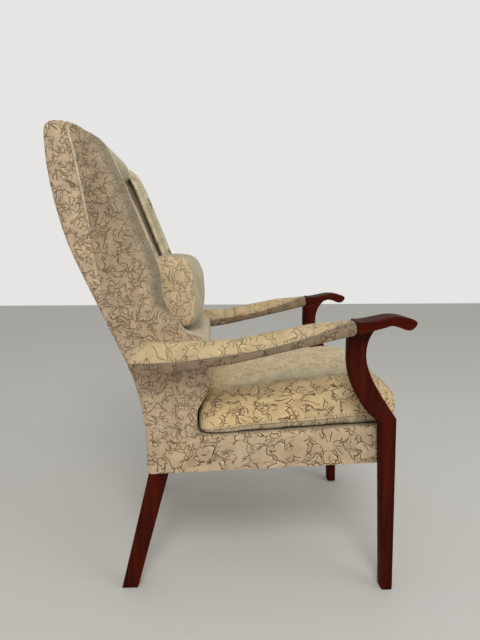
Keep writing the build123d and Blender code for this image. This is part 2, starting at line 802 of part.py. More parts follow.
with BuildPart() as bottom_cloth:
    with BuildSketch(side(-frame_half)):
        add(hem_layer(box_front + cover, post_face))
    extrude(amount=2 * frame_half)
    with BuildSketch(side(-upright_in)):
        add(hem_layer(post_face, waist_reach - cover))
    extrude(amount=2 * upright_in)
keep("bottom_cloth", bottom_cloth)


# --- Corner blocks and their screws -----------------------------------------------------------
block_low = rail_low_front + hem + 12
block_height = 50.0
screw_seat = 12.0            # depth of a block under its screw's head
screw_offset = block_side * 0.66            # screw from the inner corner
screw_head = 5.0
screw_head_height = 3.0
screw_stagger = 9.0          # the two screws pass each other, one above the other
block_corner = (rail_in, front_rail_faces[1] - middle)
screw_places = []
for level, sideways in [
    (block_low + block_height / 2 - screw_stagger, False),
    (block_low + block_height / 2 + screw_stagger, True),
]:
    if sideways:
        spot = (block_corner[0] - screw_seat, block_corner[1] + screw_offset, level)
        screw_places.append(Plane(origin=spot, z_dir=(1, 0, 0)))
    else:
        spot = (block_corner[0] - screw_offset, block_corner[1] + screw_seat, level)
        screw_places.append(Plane(origin=spot, z_dir=(0, -1, 0)))
on_seat = (Align.CENTER, Align.CENTER, Align.MIN)
over_seat = (Align.CENTER, Align.CENTER, Align.MAX)
with BuildPart() as screw_holes:
    with Locations(*screw_places):
        Cylinder(screw_radius + fit, screw_length + 1, align=on_seat)
        Cylinder(screw_head + fit, block_side, align=over_seat)
with BuildPart() as corner_blocks:
    with BuildSketch(Plane.XY.offset(block_low)):
        with BuildLine():
            Polyline(
                block_corner,
                (block_corner[0] - block_side, block_corner[1]),
                (block_corner[0], block_corner[1] + block_side),
                close=True,
            )
        make_face()
    extrude(amount=block_height)
    add(screw_holes.part, mode=Mode.SUBTRACT)
    mirror(corner_blocks.part, about=Plane.YZ)
keep("corner_blocks", corner_blocks)
with BuildPart() as block_screws:
    with Locations(*screw_places):
        Cylinder(screw_radius, screw_length - screw_head_height, align=on_seat)
        Cylinder(screw_head, screw_head_height, align=over_seat)
    mirror(block_screws.part, about=Plane.YZ)
keep("block_screws", block_screws)

# --- Arm fixings: dowels from the leg into the board, a bolt from the back post -----------------
arm_dowel_up = 13.0          # length in the board
arm_dowel_down = 25.0        # length in the leg
arm_dowel_x = seat_half + leg_thick / 2
arm_dowel_rear = neck_rear - 2 * dowel_radius
arm_dowel_reaches = [arm_dowel_rear - 4 * dowel_radius, arm_dowel_rear]
arm_dowel_places = [
    Plane(origin=(arm_dowel_x, reach - middle, board_low(reach) - arm_dowel_down), z_dir=(0, 0, 1))
    for reach in arm_dowel_reaches
]
bolt_reach = board_end - 11
bolt_level = pad_base(bolt_reach) + cover + board_thick * 0.6
bolt_plane = Plane(origin=(upright_in, bolt_reach - middle, bolt_level), z_dir=(1, 0, 0))
bolt_length = board_out - upright_in - 12
with BuildPart() as arm_holes:
    with Locations(*arm_dowel_places):
        Cylinder(dowel_radius + fit, arm_dowel_down + arm_dowel_up + 1, align=on_seat)
    with Locations(bolt_plane):
        Cylinder(bolt_radius + fit, bolt_length + 1, align=on_seat)
with BuildPart() as arm_dowels:
    with Locations(*arm_dowel_places):
        Cylinder(dowel_radius, arm_dowel_down + arm_dowel_up, align=on_seat)
    mirror(arm_dowels.part, about=Plane.YZ)
keep("arm_dowels", arm_dowels)
with BuildPart() as arm_bolts:
    with Locations(bolt_plane):
        Cylinder(bolt_radius, bolt_length, align=on_seat)
        Cylinder(bolt_head, bolt_head_height, align=over_seat)
    mirror(arm_bolts.part, about=Plane.YZ)
keep("arm_bolts", arm_bolts)


def cut(piece, tool):
    """The piece with the holes for its fixings."""
    with BuildPart() as holed:
        add(piece.part)
        add(tool.part, mode=Mode.SUBTRACT)
    return holed


with BuildPart() as front_rail:
    add(front_rail_blank)
    add(screw_holes.part, mode=Mode.SUBTRACT)
    mirror(screw_holes.part, about=Plane.YZ, mode=Mode.SUBTRACT)
keep("front_rail", front_rail)
keep_pair("side_rail", cut(side_rail, screw_holes))
keep_pair("front_leg", cut(front_leg, arm_holes))
keep_pair("arm_board", cut(arm_board, arm_holes))
keep_pair("arm_cover", cut(arm_cover, arm_holes))
keep_pair("arm_foam", arm_foam)
keep_pair("outside_wing_cover", cut(outside_wing_cover, arm_holes))
keep_pair("back_border", cut(back_border, arm_holes))
keep_pair("back_post", cut(back_post, arm_holes))
keep_pair("side_rail_cover", side_rail_cover)

# --- Seat cushion: foam core in a piped cover that crowns above its seam --------------------------
cushion_half = cushion_width / 2


def cushion_section(reach, half, low, crown):
    """Section of the seat cushion across the chair: flat base, upright border, domed top."""
    with BuildSketch(across(reach)) as shape:
        with BuildLine():
            edge = (half, seam(reach))
            swell = (half - crown_draw, seam(reach) + crown * 0.5)
            turn = (half * 0.62, seam(reach) + crown * 0.86)
            Line((-half, low), (half, low))
            Line((half, low), edge)
            ThreePointArc(edge, swell, turn)
            ThreePointArc(turn, (0, seam(reach) + crown), (-turn[0], turn[1]))
            ThreePointArc((-turn[0], turn[1]), (-swell[0], swell[1]), (-edge[0], edge[1]))
            Line((-edge[0], edge[1]), (-half, low))
        make_face()
    return shape.sketch


def seat_level(reach):
    return rail_top(reach) + seat_clear


with BuildPart() as cushion_core:
    with BuildSketch(side(core_margin - cushion_half)):
        start = core_margin - cushion_nose + 10
        end = cushion_rear - core_margin
        add(seat_layer(start, end, -seat_clear - 6, -seat_clear - 6 - core_thick))
    extrude(amount=2 * (cushion_half - core_margin))
keep("seat_cushion_core", cushion_core)

seam_run = cushion_rear + cushion_nose


def cushion_half_at(run):
    """Half width at a distance behind the nose: straight sides between rounded corners."""
    into = min(run, seam_run - run, corner_radius)
    return cushion_half - corner_radius + (corner_radius ** 2 - (corner_radius - into) ** 2) ** 0.5


def cushion_crown_at(run):
    """Rise over the seam: a quick roll at the nose, a long crown, a gentle fall to the rear."""
    nose = max(0.0, 1 - run / nose_run)
    tail = max(0.0, (run - tail_start) / (seam_run - tail_start))
    return cushion_crown * (nose_rise + (1 - nose_rise) * (1 - nose ** 2) ** 0.5 - tail_fall * tail ** 2)


def cushion_low_at(run):
    """Underside: it rises under the nose, ahead of the seat box."""
    under = min(1.0, run / nose_under)
    lip = seam(run - cushion_nose) - nose_lip
    flat = seat_level(run - cushion_nose)
    return lip + (min(flat, lip) - lip) * (1 - (1 - under) ** 2) ** 0.5


nose_run = 95.0              # length of the roll behind the nose
nose_rise = 0.2              # share of the crown at the nose itself
tail_start = 230.0           # where the crown starts to fall
tail_fall = 0.42             # share of the crown lost at the rear
nose_under = 28.0            # overhang ahead of the seat box
nose_lip = 9.0               # border's depth at the nose
cushion_runs = [0, 3, 9, 18, 34, 60, 95, 150, 230, 300, 360, seam_run - corner_radius]
cushion_runs += [seam_run - share * corner_radius for share in (0.5, 0.2, 0.06, 0)]
cushion_sections = [
    (run - cushion_nose, cushion_half_at(run), cushion_low_at(run), cushion_crown_at(run))
    for run in cushion_runs
]
seam_fall = Vector(0, cos(radians(seam_pitch)), -sin(radians(seam_pitch)))
seam_plane = Plane(
    origin=(0, -cushion_nose - middle, seam(-cushion_nose)),
    x_dir=(1, 0, 0),
    z_dir=Vector(1, 0, 0).cross(seam_fall),
)
seam_length = (cushion_rear + cushion_nose) / cos(radians(seam_pitch))


def piping_ring(radius):
    with BuildPart() as ring:
        with BuildLine(seam_plane) as path:
            FilletPolyline(
                (-cushion_half, 0),
                (cushion_half, 0),
                (cushion_half, seam_length),
                (-cushion_half, seam_length),
                radius=corner_radius,
                close=True,
            )
        route = path.wires()[0]
        with BuildSketch(Plane(origin=route @ 0, z_dir=route % 0)):
            Circle(radius)
        sweep(path=route)
    return ring.part


piping = piping_ring(piping_radius)
groove = piping_ring(piping_radius + seat_clear)
above_seat = region([
    (-far, seat_level(-far)), (far, seat_level(far)), (far, far), (-far, far),
])
with BuildPart() as cushion_cover:
    loft([cushion_section(*station) for station in cushion_sections], ruled=True)
    with BuildSketch(side(-cushion_width)):
        add(above_seat)
    extrude(amount=2 * cushion_width, mode=Mode.INTERSECT)
    add(cushion_core.part, mode=Mode.SUBTRACT)
    add(groove, mode=Mode.SUBTRACT)
keep("seat_cushion_cover", cushion_cover)
with BuildPart() as cushion_piping:
    add(piping)
keep("seat_cushion_piping", cushion_piping)

# --- Lumbar cushion: a wedge that fills the hollow between the wings, above the ledge -------------
lumbar_front = waist_reach - lumbar_lead
hollow_slope = (hollow_head[0] - hollow_foot[0]) / (hollow_head[1] - hollow_foot[1])


def hollow_at(level):
    """Face of the hollow at a height, just behind the cushion."""
    return hollow_foot[0] + (level - hollow_foot[1]) * hollow_slope - lumbar_clear


def ledge_at(reach):
    return ledge_front[1] + (reach - ledge_front[0]) * ledge_slope + lumbar_clear


def lumbar_outline(draw):
    """Outline of the cushion seen from the side; its ends are drawn in."""
    front = lumbar_front + draw
    high = lumbar_high - draw * 0.6
    low = draw * 0.6
    base = front + lumbar_sole_lead
    heel = hollow_foot[0] - lumbar_heel
    return region([
        (base, ledge_at(base) + low),
        (heel, ledge_at(heel) + low),
        (hollow_at(hollow_foot[1] + lumbar_heel), hollow_foot[1] + lumbar_heel + low),
        (hollow_at(high - lumbar_slant), high - lumbar_slant),
        (front + lumbar_sole_lead, high),
        (front, high - lumbar_brow_drop),
        (front, lumbar_low + lumbar_chin),
    ], [lumbar_edge, lumbar_edge, lumbar_edge, lumbar_edge, lumbar_round, lumbar_round, lumbar_round])


with BuildPart() as lumbar_core:
    with BuildSketch(side(lumbar_core_margin - lumbar_width / 2)):
        core_low = lumbar_low + 2 * lumbar_core_margin + 10
        core_high = lumbar_high - lumbar_core_margin
        add(region([
            (lumbar_front + lumbar_core_margin, core_low),
            (hollow_at(core_low) - lumbar_core_margin, core_low),
            (hollow_at(core_high) - lumbar_core_margin, core_high),
            (lumbar_front + lumbar_core_margin, core_high),
        ]))
    extrude(amount=lumbar_width - 2 * lumbar_core_margin)
keep("lumbar_cushion_core", lumbar_core)
with BuildPart() as lumbar_cover:
    for share in (-1, -0.97, -0.9, -0.75, -0.5, 0.5, 0.75, 0.9, 0.97, 1):
        draw = lumbar_draw * (max(0.0, abs(share) - 0.5) / 0.5) ** 3
        with BuildSketch(side(share * lumbar_width / 2)):
            add(lumbar_outline(draw))
    loft(ruled=True)
    add(lumbar_core.part, mode=Mode.SUBTRACT)
keep("lumbar_cushion_cover", lumbar_cover)
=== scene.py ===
import math

import bmesh
import bpy
from mathutils import Matrix, Vector


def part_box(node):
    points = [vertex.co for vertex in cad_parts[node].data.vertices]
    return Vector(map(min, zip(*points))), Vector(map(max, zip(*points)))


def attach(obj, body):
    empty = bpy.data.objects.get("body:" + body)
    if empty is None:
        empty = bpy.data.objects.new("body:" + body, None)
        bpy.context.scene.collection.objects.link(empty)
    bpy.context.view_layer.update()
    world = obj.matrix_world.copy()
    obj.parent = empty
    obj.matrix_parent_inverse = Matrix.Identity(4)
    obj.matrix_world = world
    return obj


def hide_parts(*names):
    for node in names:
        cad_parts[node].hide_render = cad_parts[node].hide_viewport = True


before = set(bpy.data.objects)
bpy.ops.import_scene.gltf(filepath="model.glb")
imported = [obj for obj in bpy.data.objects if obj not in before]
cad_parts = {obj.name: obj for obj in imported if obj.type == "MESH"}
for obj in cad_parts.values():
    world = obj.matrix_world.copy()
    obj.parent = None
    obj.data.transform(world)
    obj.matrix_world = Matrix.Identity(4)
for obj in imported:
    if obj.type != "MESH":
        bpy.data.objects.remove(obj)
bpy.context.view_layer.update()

# A high-backed fireside chair. Metres; +Z is up, the chair faces -Y and its left-hand side is +X.
# Distances called "reach" run backwards in millimetres from the middle of the front feet.
MM = 0.001
SIDES = {"left": 1, "right": -1}
HEAD_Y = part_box("outside_back_cover")[1].y  # rear face of the head
SEAT_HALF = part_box("outside_back_cover")[1].x  # half the width over the side covers
BACK_REACH = 741
ZERO_Y = HEAD_Y - BACK_REACH * MM


def place(reach, height, x=0.0):
    """Point given by its reach and height in millimetres."""
    return Vector((x, ZERO_Y + reach * MM, height * MM))


def new_object(name, data):
    """An object for some data, put into the scene."""
    made = bpy.data.objects.new(name, data)
    bpy.context.scene.collection.objects.link(made)
    return made


# --- Camera ---
CAMERA_PLACE = Vector((-1.2902, 0.0351, 0.7745))
CAMERA_TURN = 0.050  # towards the chair's front, radians
CAMERA_DIP = 0.138
FOCAL = 27.11  # millimetres


def add_camera():
    ahead = Vector((
        math.cos(CAMERA_TURN) * math.cos(CAMERA_DIP),
        -math.sin(CAMERA_TURN) * math.cos(CAMERA_DIP),
        -math.sin(CAMERA_DIP),
    ))
    right = Vector((-math.sin(CAMERA_TURN), -math.cos(CAMERA_TURN), 0))
    up = right.cross(ahead)
    camera = new_object("camera", bpy.data.cameras.new("camera"))
    camera.data.lens = FOCAL
    camera.data.clip_end = 50
    turn = Matrix((right, up, -ahead)).transposed()
    camera.matrix_world = Matrix.Translation(CAMERA_PLACE) @ turn.to_4x4()
    bpy.context.scene.camera = camera


# --- Materials ---
FLAT = {"noise_dimensions": "2D"}
CELLS = {"voronoi_dimensions": "2D"}
CELL_EDGES = {"voronoi_dimensions": "2D", "feature": "DISTANCE_TO_EDGE"}
SOFT = {"interpolation_type": "SMOOTHSTEP"}
COLOURS = {"data_type": "RGBA"}


def linear(code):
    """Linear colour of an sRGB hex value."""
    parts = [int(code[i:i + 2], 16) / 255 for i in (1, 3, 5)]
    return [p / 12.92 if p <= 0.04045 else ((p + 0.055) / 1.055) ** 2.4 for p in parts] + [1.0]


def new_material(name):
    material = bpy.data.materials.new(name)
    material.use_nodes = True
    return material, material.node_tree, material.node_tree.nodes["Principled BSDF"].inputs


def add(tree, kind, inputs=(), **settings):
    """Adds a node with its inputs and settings and gives its outputs.

    Inputs are values or sockets: a list in the node's own order, or a dict by name or number.
    """
    node = tree.nodes.new("ShaderNode" + kind)
    for key, value in settings.items():
        setattr(node, key, value)
    if not isinstance(inputs, dict):
        inputs = dict(enumerate(inputs))
    for key, value in inputs.items():
        if isinstance(value, bpy.types.NodeSocket):
            tree.links.new(value, node.inputs[key])
        else:
            node.inputs[key].default_value = value
    return node.outputs


def bend(tree, spot, scale, amount):
    """Moves places of a pattern about at random, by up to half the amount."""
    drift = add(tree, "TexNoise", {"Vector": spot, "Scale": scale, "Detail": 0.0}, **FLAT)["Color"]
    return add(tree, "VectorMath", [drift, (amount, amount, 0), spot], operation="MULTIPLY_ADD")[0]


def leaves(tree, spot, scale, small, large):
    """Distance past the outline of the lobed leaf in each cell of the cloth, and its midrib's."""
    spot = add(tree, "VectorMath", {0: spot, "Scale": scale}, operation="SCALE")[0]
    grid = {"Vector": spot, "Scale": 1.0, "Randomness": 0.75}
    cell = add(tree, "TexVoronoi", grid, **CELLS)
    dice = add(tree, "SeparateColor", {"Color": cell["Color"]})
    local = add(tree, "VectorMath", [spot, cell["Position"]], operation="SUBTRACT")[0]
    turn = add(tree, "Math", [dice["Red"], 2 * math.pi], operation="MULTIPLY")[0]
    turned = add(tree, "VectorRotate", {"Vector": local, "Angle": turn}, rotation_type="Z_AXIS")[0]
    axes = add(tree, "SeparateXYZ", {"Vector": turned})
    out = add(tree, "VectorMath", [local], operation="LENGTH")["Value"]
    angle = add(tree, "Math", [axes["Y"], axes["X"]], operation="ARCTAN2")[0]
    # Half of the leaves have three lobes, half of them five.
    five = add(tree, "Math", [dice["Green"], 0.5], operation="GREATER_THAN")[0]
    count = add(tree, "Math", [five, 1.0, 1.5], operation="MULTIPLY_ADD")[0]
    lobe = add(tree, "Math", [angle, count], operation="MULTIPLY")[0]
    for step in ("COSINE", "ABSOLUTE"):
        lobe = add(tree, "Math", [lobe], operation=step)[0]
    lobe = add(tree, "Math", [lobe, 0.15, 0.3], operation="SMOOTH_MAX")[0]
    long = add(tree, "Math", [angle], operation="COSINE")[0]
    long = add(tree, "Math", [long, 0.06, small], operation="MULTIPLY_ADD")[0]
    edge = add(tree, "Math", [lobe, large, long], operation="MULTIPLY_ADD")[0]
    past = add(tree, "Math", [out, edge], operation="SUBTRACT")[0]
    border = add(tree, "TexVoronoi", grid, **CELL_EDGES)["Distance"]
    border = add(tree, "Math", [0.05, border], operation="SUBTRACT")[0]
    past = add(tree, "Math", [past, border], operation="MAXIMUM")[0]
    rib = add(tree, "Math", [axes["Y"]], operation="ABSOLUTE")[0]
    tip = add(tree, "Math", [past, 0.1], operation="ADD")[0]
    root = add(tree, "Math", [axes["X"], -1.0], operation="MULTIPLY")[0]
    for end in (tip, root):
        rib = add(tree, "Math", [rib, end], operation="MAXIMUM")[0]
    return [add(tree, "Math", [way, scale], operation="DIVIDE")[0] for way in (past, rib)]


LATTICE = 6.5  # pitch of the cross-hatched patches, mm


def cross_hatch(tree, cloth, spot, clear):
    """Share of thread in the patches of fine lattice that fill some gaps of the figure."""
    fine = 1000 / LATTICE / math.sqrt(2)
    hatch = add(tree, "VectorMath", {0: cloth, "Scale": fine}, operation="SCALE")[0]
    hatch = add(tree, "SeparateXYZ", {"Vector": hatch})
    rows = []
    for slant in ("ADD", "SUBTRACT"):
        row = add(tree, "Math", [hatch["X"], hatch["Y"]], operation=slant)[0]
        rows.append(add(tree, "Math", [row, 0.5], operation="PINGPONG")[0])
    lattice = add(tree, "Math", rows, operation="MINIMUM")[0]
    patch = add(tree, "TexNoise", {"Vector": spot, "Scale": 1.3, "Detail": 0.0}, **FLAT)["Fac"]
    patch = add(tree, "Math", [0.62, patch], operation="SUBTRACT")[0]
    patch = add(tree, "Math", [patch, 8.0], operation="MULTIPLY")[0]
    leaf = add(tree, "Math", [clear, 9.0], operation="MULTIPLY")[0]
    for limit in (patch, leaf):
        lattice = add(tree, "Math", [lattice, limit], operation="MAXIMUM")[0]
    return add(tree, "MapRange", [lattice, 0.05, 0.2, 0.45, 0.0])[0]


PILE = "#D4B897"
GILT_PILE = "#DDBF8B"
# Pale grey tone for random patches of pile and for painted sheen.
BRUSHED_AND_SHEEN_PILE = "#D4C9AC"
PILE_IN_SHADE = "#3A2408"
CUT_LINE = "#5A4528"
SHEEN = "#E2DCCB"


def cut_velvet(name, motif, half_line, scrolls, ink_share, depth):
    """Upholstery velvet with a figure of leaves and stems cut into its pile.

    The figure's lines sit deeper and look dark, the pile beside them gets a painted highlight,
    and the pile in folds and under seams gets painted shade from ambient occlusion. Motif is the
    distance from leaf to leaf, half_line half a line's width and depth its depth, in millimetres.
    Scrolls put curls between the leaves in place of smaller leaves and cross-hatched patches.
    """
    material, tree, shader = new_material(name)
    cloth = add(tree, "UVMap", uv_map="cloth")["UV"]
    # Shares of painted sheen, golden pile and painted shade, set on the mesh.
    painted_sheen = add(tree, "Attribute", attribute_name="painted_sheen")["Fac"]
    gilt = add(tree, "Attribute", attribute_name="gilt")["Fac"]
    painted_shade = add(tree, "Attribute", attribute_name="painted_shade")["Fac"]
    line = half_line / motif
    spot = add(tree, "VectorMath", {0: cloth, "Scale": 1000 / motif}, operation="SCALE")[0]
    bent = bend(tree, bend(tree, spot, 1.4, 0.5), 5.0, 0.1)
    # The leaves: near is the distance to a cut line, lit the distance to the painted highlight beside it.
    past, rib = leaves(tree, bent, 1.0, 0.27, 0.15)
    near = add(tree, "Math", [past], operation="ABSOLUTE")[0]
    near = add(tree, "Math", [near, rib], operation="MINIMUM")[0]
    lit = add(tree, "Math", [past, line * 2.4], operation="ADD")[0]
    lit = add(tree, "Math", [lit], operation="ABSOLUTE")[0]
    clear = add(tree, "Math", [0.03, past], operation="SUBTRACT")[0]
    # What lies between the leaves: curls, or smaller leaves.
    if scrolls:
        between = add(tree, "TexNoise", {"Vector": bent, "Scale": 3.6, "Detail": 0.0}, **FLAT)["Fac"]
        between = add(tree, "Math", [between, 0.5], operation="SUBTRACT")[0]
        between = add(tree, "Math", [between, 0.8], operation="MULTIPLY")[0]
        inner = 1.0
        hidden = 0.0
    else:
        between, inner = leaves(tree, bent, 2.0, 0.26, 0.16)
        hidden = add(tree, "Math", [0.02, past], operation="SUBTRACT")[0]
        gap = add(tree, "Math", [0.02, between], operation="SUBTRACT")[0]
        clear = add(tree, "Math", [clear, gap], operation="MAXIMUM")[0]
    beside = add(tree, "Math", [between, line * 2.4], operation="ADD")[0]
    beside = add(tree, "Math", [beside], operation="ABSOLUTE")[0]
    beside = add(tree, "Math", [beside, hidden], operation="MAXIMUM")[0]
    lit = add(tree, "Math", [lit, beside], operation="MINIMUM")[0]
    between = add(tree, "Math", [between], operation="ABSOLUTE")[0]
    between = add(tree, "Math", [between, inner], operation="MINIMUM")[0]
    between = add(tree, "Math", [between, hidden], operation="MAXIMUM")[0]
    near = add(tree, "Math", [near, between], operation="MINIMUM")[0]
    # Stems run between the leaves, and parts of the figure are worn away.
    stems = {"Vector": bend(tree, bent, 2.7, 0.4), "Scale": 1.6, "Randomness": 1.0}
    stems = add(tree, "TexVoronoi", stems, **CELL_EDGES)["Distance"]
    stems = add(tree, "Math", [stems, 0.62], operation="MULTIPLY")[0]
    stems = add(tree, "Math", [stems, clear], operation="MAXIMUM")[0]
    near = add(tree, "Math", [near, stems], operation="MINIMUM")[0]
    worn = add(tree, "TexNoise", {"Vector": spot, "Scale": 2.3, "Detail": 0.0}, **FLAT)["Fac"]
    worn = add(tree, "MapRange", [worn, 0.57, 0.7, 0.0, line * 3])[0]
    near = add(tree, "Math", [near, worn], operation="ADD")[0]
    lit = add(tree, "Math", [lit, worn], operation="ADD")[0]
    ink = add(tree, "MapRange", [near, line * 0.5, line * 1.5, 1.0, 0.0], **SOFT)[0]
    if not scrolls:
        hatch = cross_hatch(tree, cloth, spot, clear)
        ink = add(tree, "Math", [ink, hatch], operation="MAXIMUM")[0]
    relief = add(tree, "MapRange", [near, 0.0, line * 3.2, 0.0, 1.0], **SOFT)[0]
    # Painted highlight: the pile just beside the cut lines is drawn lighter.
    painted_highlight = add(tree, "MapRange", [lit, line * 0.6, line * 1.8, 1.22, 0.98], **SOFT)[0]
    # Painted sheen fades the figure's lines and relief.
    shown = add(tree, "Math", [1.0, painted_sheen], operation="SUBTRACT")[0]
    ink = add(tree, "Math", [ink, shown], operation="MULTIPLY")[0]
    ink = add(tree, "Math", [ink, ink_share], operation="MULTIPLY")[0]
    # The pile's tone, paled by random patches and painted sheen, golden where gilt, darkened by painted
    # shade, then mottled at random, with painted highlights and painted crease shade.
    brushed_and_sheen = add(tree, "TexNoise", {"Vector": cloth, "Scale": 8.0, "Detail": 1.0}, **FLAT)["Fac"]
    brushed_and_sheen = add(tree, "MapRange", [brushed_and_sheen, 0.35, 0.7, 0.0, 0.2])[0]
    brushed_and_sheen = add(tree, "Math", [brushed_and_sheen, painted_sheen], operation="MAXIMUM")[0]
    tones = {"Factor": gilt, "A": linear(PILE), "B": linear(GILT_PILE)}
    ground = add(tree, "Mix", tones, **COLOURS)["Result"]
    tones = {"Factor": brushed_and_sheen, "A": ground, "B": linear(BRUSHED_AND_SHEEN_PILE)}
    ground = add(tree, "Mix", tones, **COLOURS)["Result"]
    # Painted shade: the pile is mixed toward a dark tone as far as its painted-shade share asks.
    tones = {"Factor": 0.6, "A": ground, "B": linear(PILE_IN_SHADE)}
    away = add(tree, "Mix", tones, **COLOURS)["Result"]
    ground = add(tree, "Mix", {"Factor": painted_shade, "A": ground, "B": away}, **COLOURS)["Result"]
    pile = add(tree, "TexNoise", {"Vector": cloth, "Scale": 420.0, "Detail": 2.0}, **FLAT)["Fac"]
    cloud = add(tree, "TexNoise", {"Vector": cloth, "Scale": 26.0, "Detail": 3.0}, **FLAT)["Fac"]
    cloud = add(tree, "MapRange", [cloud, 0.3, 0.7, 0.86, 1.1])[0]
    tips = add(tree, "MapRange", [pile, 0.3, 0.7, 0.9, 1.08])[0]
    # Painted shade: ambient occlusion darkens the pile in creases, folds and under seams.
    painted_crease_shade = add(tree, "AmbientOcclusion", {"Distance": 0.017}, samples=8)["AO"]
    painted_crease_shade = add(tree, "MapRange", [painted_crease_shade, 0.15, 0.65, 0.5, 1.0])[0]
    shade = cloud
    for part in (tips, painted_highlight, painted_crease_shade):
        shade = add(tree, "Math", [shade, part], operation="MULTIPLY")[0]
    ground = add(tree, "VectorMath", {0: ground, "Scale": shade}, operation="SCALE")[0]
    tones = {"Factor": ink, "A": ground, "B": linear(CUT_LINE)}
    tree.links.new(add(tree, "Mix", tones, **COLOURS)["Result"], shader["Base Color"])
    relief = add(tree, "Math", [relief, shown], operation="MULTIPLY")[0]
    height = add(tree, "Math", [pile, 0.2, relief], operation="MULTIPLY_ADD")[0]
    bump = add(tree, "Bump", {"Height": height, "Strength": 1.0, "Distance": depth * MM})[0]
    tree.links.new(bump, shader["Normal"])
    shader["Roughness"].default_value = 0.85
    shader["Specular IOR Level"].default_value = 0.2
    shader["Sheen Weight"].default_value = 0.3
    shader["Sheen Roughness"].default_value = 0.5
    shader["Sheen Tint"].default_value = linear(SHEEN)
    return material


def wood(name, grain, deep, pale, scale, shine):
    """Timber with long grain along an axis; deep and pale are its two tones, shine its varnish."""
    material, tree, shader = new_material(name)
    spot = add(tree, "TexCoord")["Object"]
    stretch = [scale] * 3
    stretch["xyz".index(grain)] = scale / 18
    laid = add(tree, "Mapping", {"Vector": spot, "Scale": stretch})[0]
    bands = {"Vector": laid, "Scale": 1.0, "Detail": 4.0, "Distortion": 0.6}
    bands = add(tree, "TexNoise", bands)["Fac"]
    laid = add(tree, "Mapping", {"Vector": spot, "Scale": [part * 6 for part in stretch]})[0]
    pores = add(tree, "TexNoise", {"Vector": laid, "Scale": 1.0, "Detail": 2.0})["Fac"]
    tone = add(tree, "MapRange", [bands, 0.35, 0.65])[0]
    tones = {"Factor": tone, "A": linear(deep), "B": linear(pale)}
    colour = add(tree, "Mix", tones, **COLOURS)["Result"]
    dark = add(tree, "MapRange", [pores, 0.3, 0.5, 0.8, 1.0])[0]
    colour = add(tree, "VectorMath", {0: colour, "Scale": dark}, operation="SCALE")[0]
    tree.links.new(colour, shader["Base Color"])
    dull = add(tree, "MapRange", [bands, 0.3, 0.7, 0.62 - shine, 0.76 - shine])[0]
    tree.links.new(dull, shader["Roughness"])
    bump = add(tree, "Bump", {"Height": pores, "Strength": 0.15, "Distance": 0.0004})[0]
    tree.links.new(bump, shader["Normal"])
    shader["Specular IOR Level"].default_value = 0.0
    shader["Coat Weight"].default_value = shine / 2
    shader["Coat Roughness"].default_value = 0.14
    return material


def woven(name, tone, pitch):
    """Plain-woven cloth or webbing: crossing threads, matt, with a painted highlight on top of each thread.
    """
    material, tree, shader = new_material(name)
    spot = add(tree, "TexCoord")["Object"]
    threads = [
        add(tree, "TexWave", {"Vector": spot, "Scale": 314 / pitch / 2}, bands_direction=axis)["Fac"]
        for axis in "XY"
    ]
    weave = add(tree, "Math", threads, operation="MULTIPLY")[0]
    slub = add(tree, "TexNoise", {"Vector": spot, "Scale": 60.0, "Detail": 3.0})["Fac"]
    uneven = add(tree, "MapRange", [slub, 0.3, 0.7, 0.88, 1.08])[0]
    # Painted highlight: each thread is drawn lighter on top, with random unevenness.
    shade = add(tree, "MapRange", [weave, 0.0, 1.0, 0.72, 1.1])[0]
    shade = add(tree, "Math", [shade, uneven], operation="MULTIPLY")[0]
    colour = add(tree, "VectorMath", {0: linear(tone)[:3], "Scale": shade}, operation="SCALE")[0]
    tree.links.new(colour, shader["Base Color"])
    bump = add(tree, "Bump", {"Height": weave, "Strength": 0.6, "Distance": 0.0005})[0]
    tree.links.new(bump, shader["Normal"])
    shader["Roughness"].default_value = 0.9
    return material


def zinc_plated_steel():
    """Screws and bolts: bright, faintly clouded plating with soft reflections."""
    material, tree, shader = new_material("zinc_plated_steel")
    spot = add(tree, "TexCoord")["Object"]
    cloud = add(tree, "TexNoise", {"Vector": spot, "Scale": 300.0, "Detail": 2.0})["Fac"]
    rough = add(tree, "MapRange", [cloud, 0.0, 1.0, 0.28, 0.5])[0]
    tree.links.new(rough, shader["Roughness"])
    tones = {"Factor": cloud, "A": linear("#9C9C98"), "B": linear("#C9C8C2")}
    tree.links.new(add(tree, "Mix", tones, **COLOURS)["Result"], shader["Base Color"])
    shader["Metallic"].default_value = 1.0
    return material


# --- Mesh work ---
def make_object(name, bm):
    mesh = bpy.data.meshes.new(name)
    bm.to_mesh(mesh)
    bm.free()
    return new_object(name, mesh)


def evaluated(piece):
    """The piece with its modifiers applied."""
    graph = bpy.context.evaluated_depsgraph_get()
    graph.update()
    mesh = bpy.data.meshes.new_from_object(piece.evaluated_get(graph))
    piece.modifiers.clear()
    old = piece.data
    piece.data = mesh
    bpy.data.meshes.remove(old)
    return piece


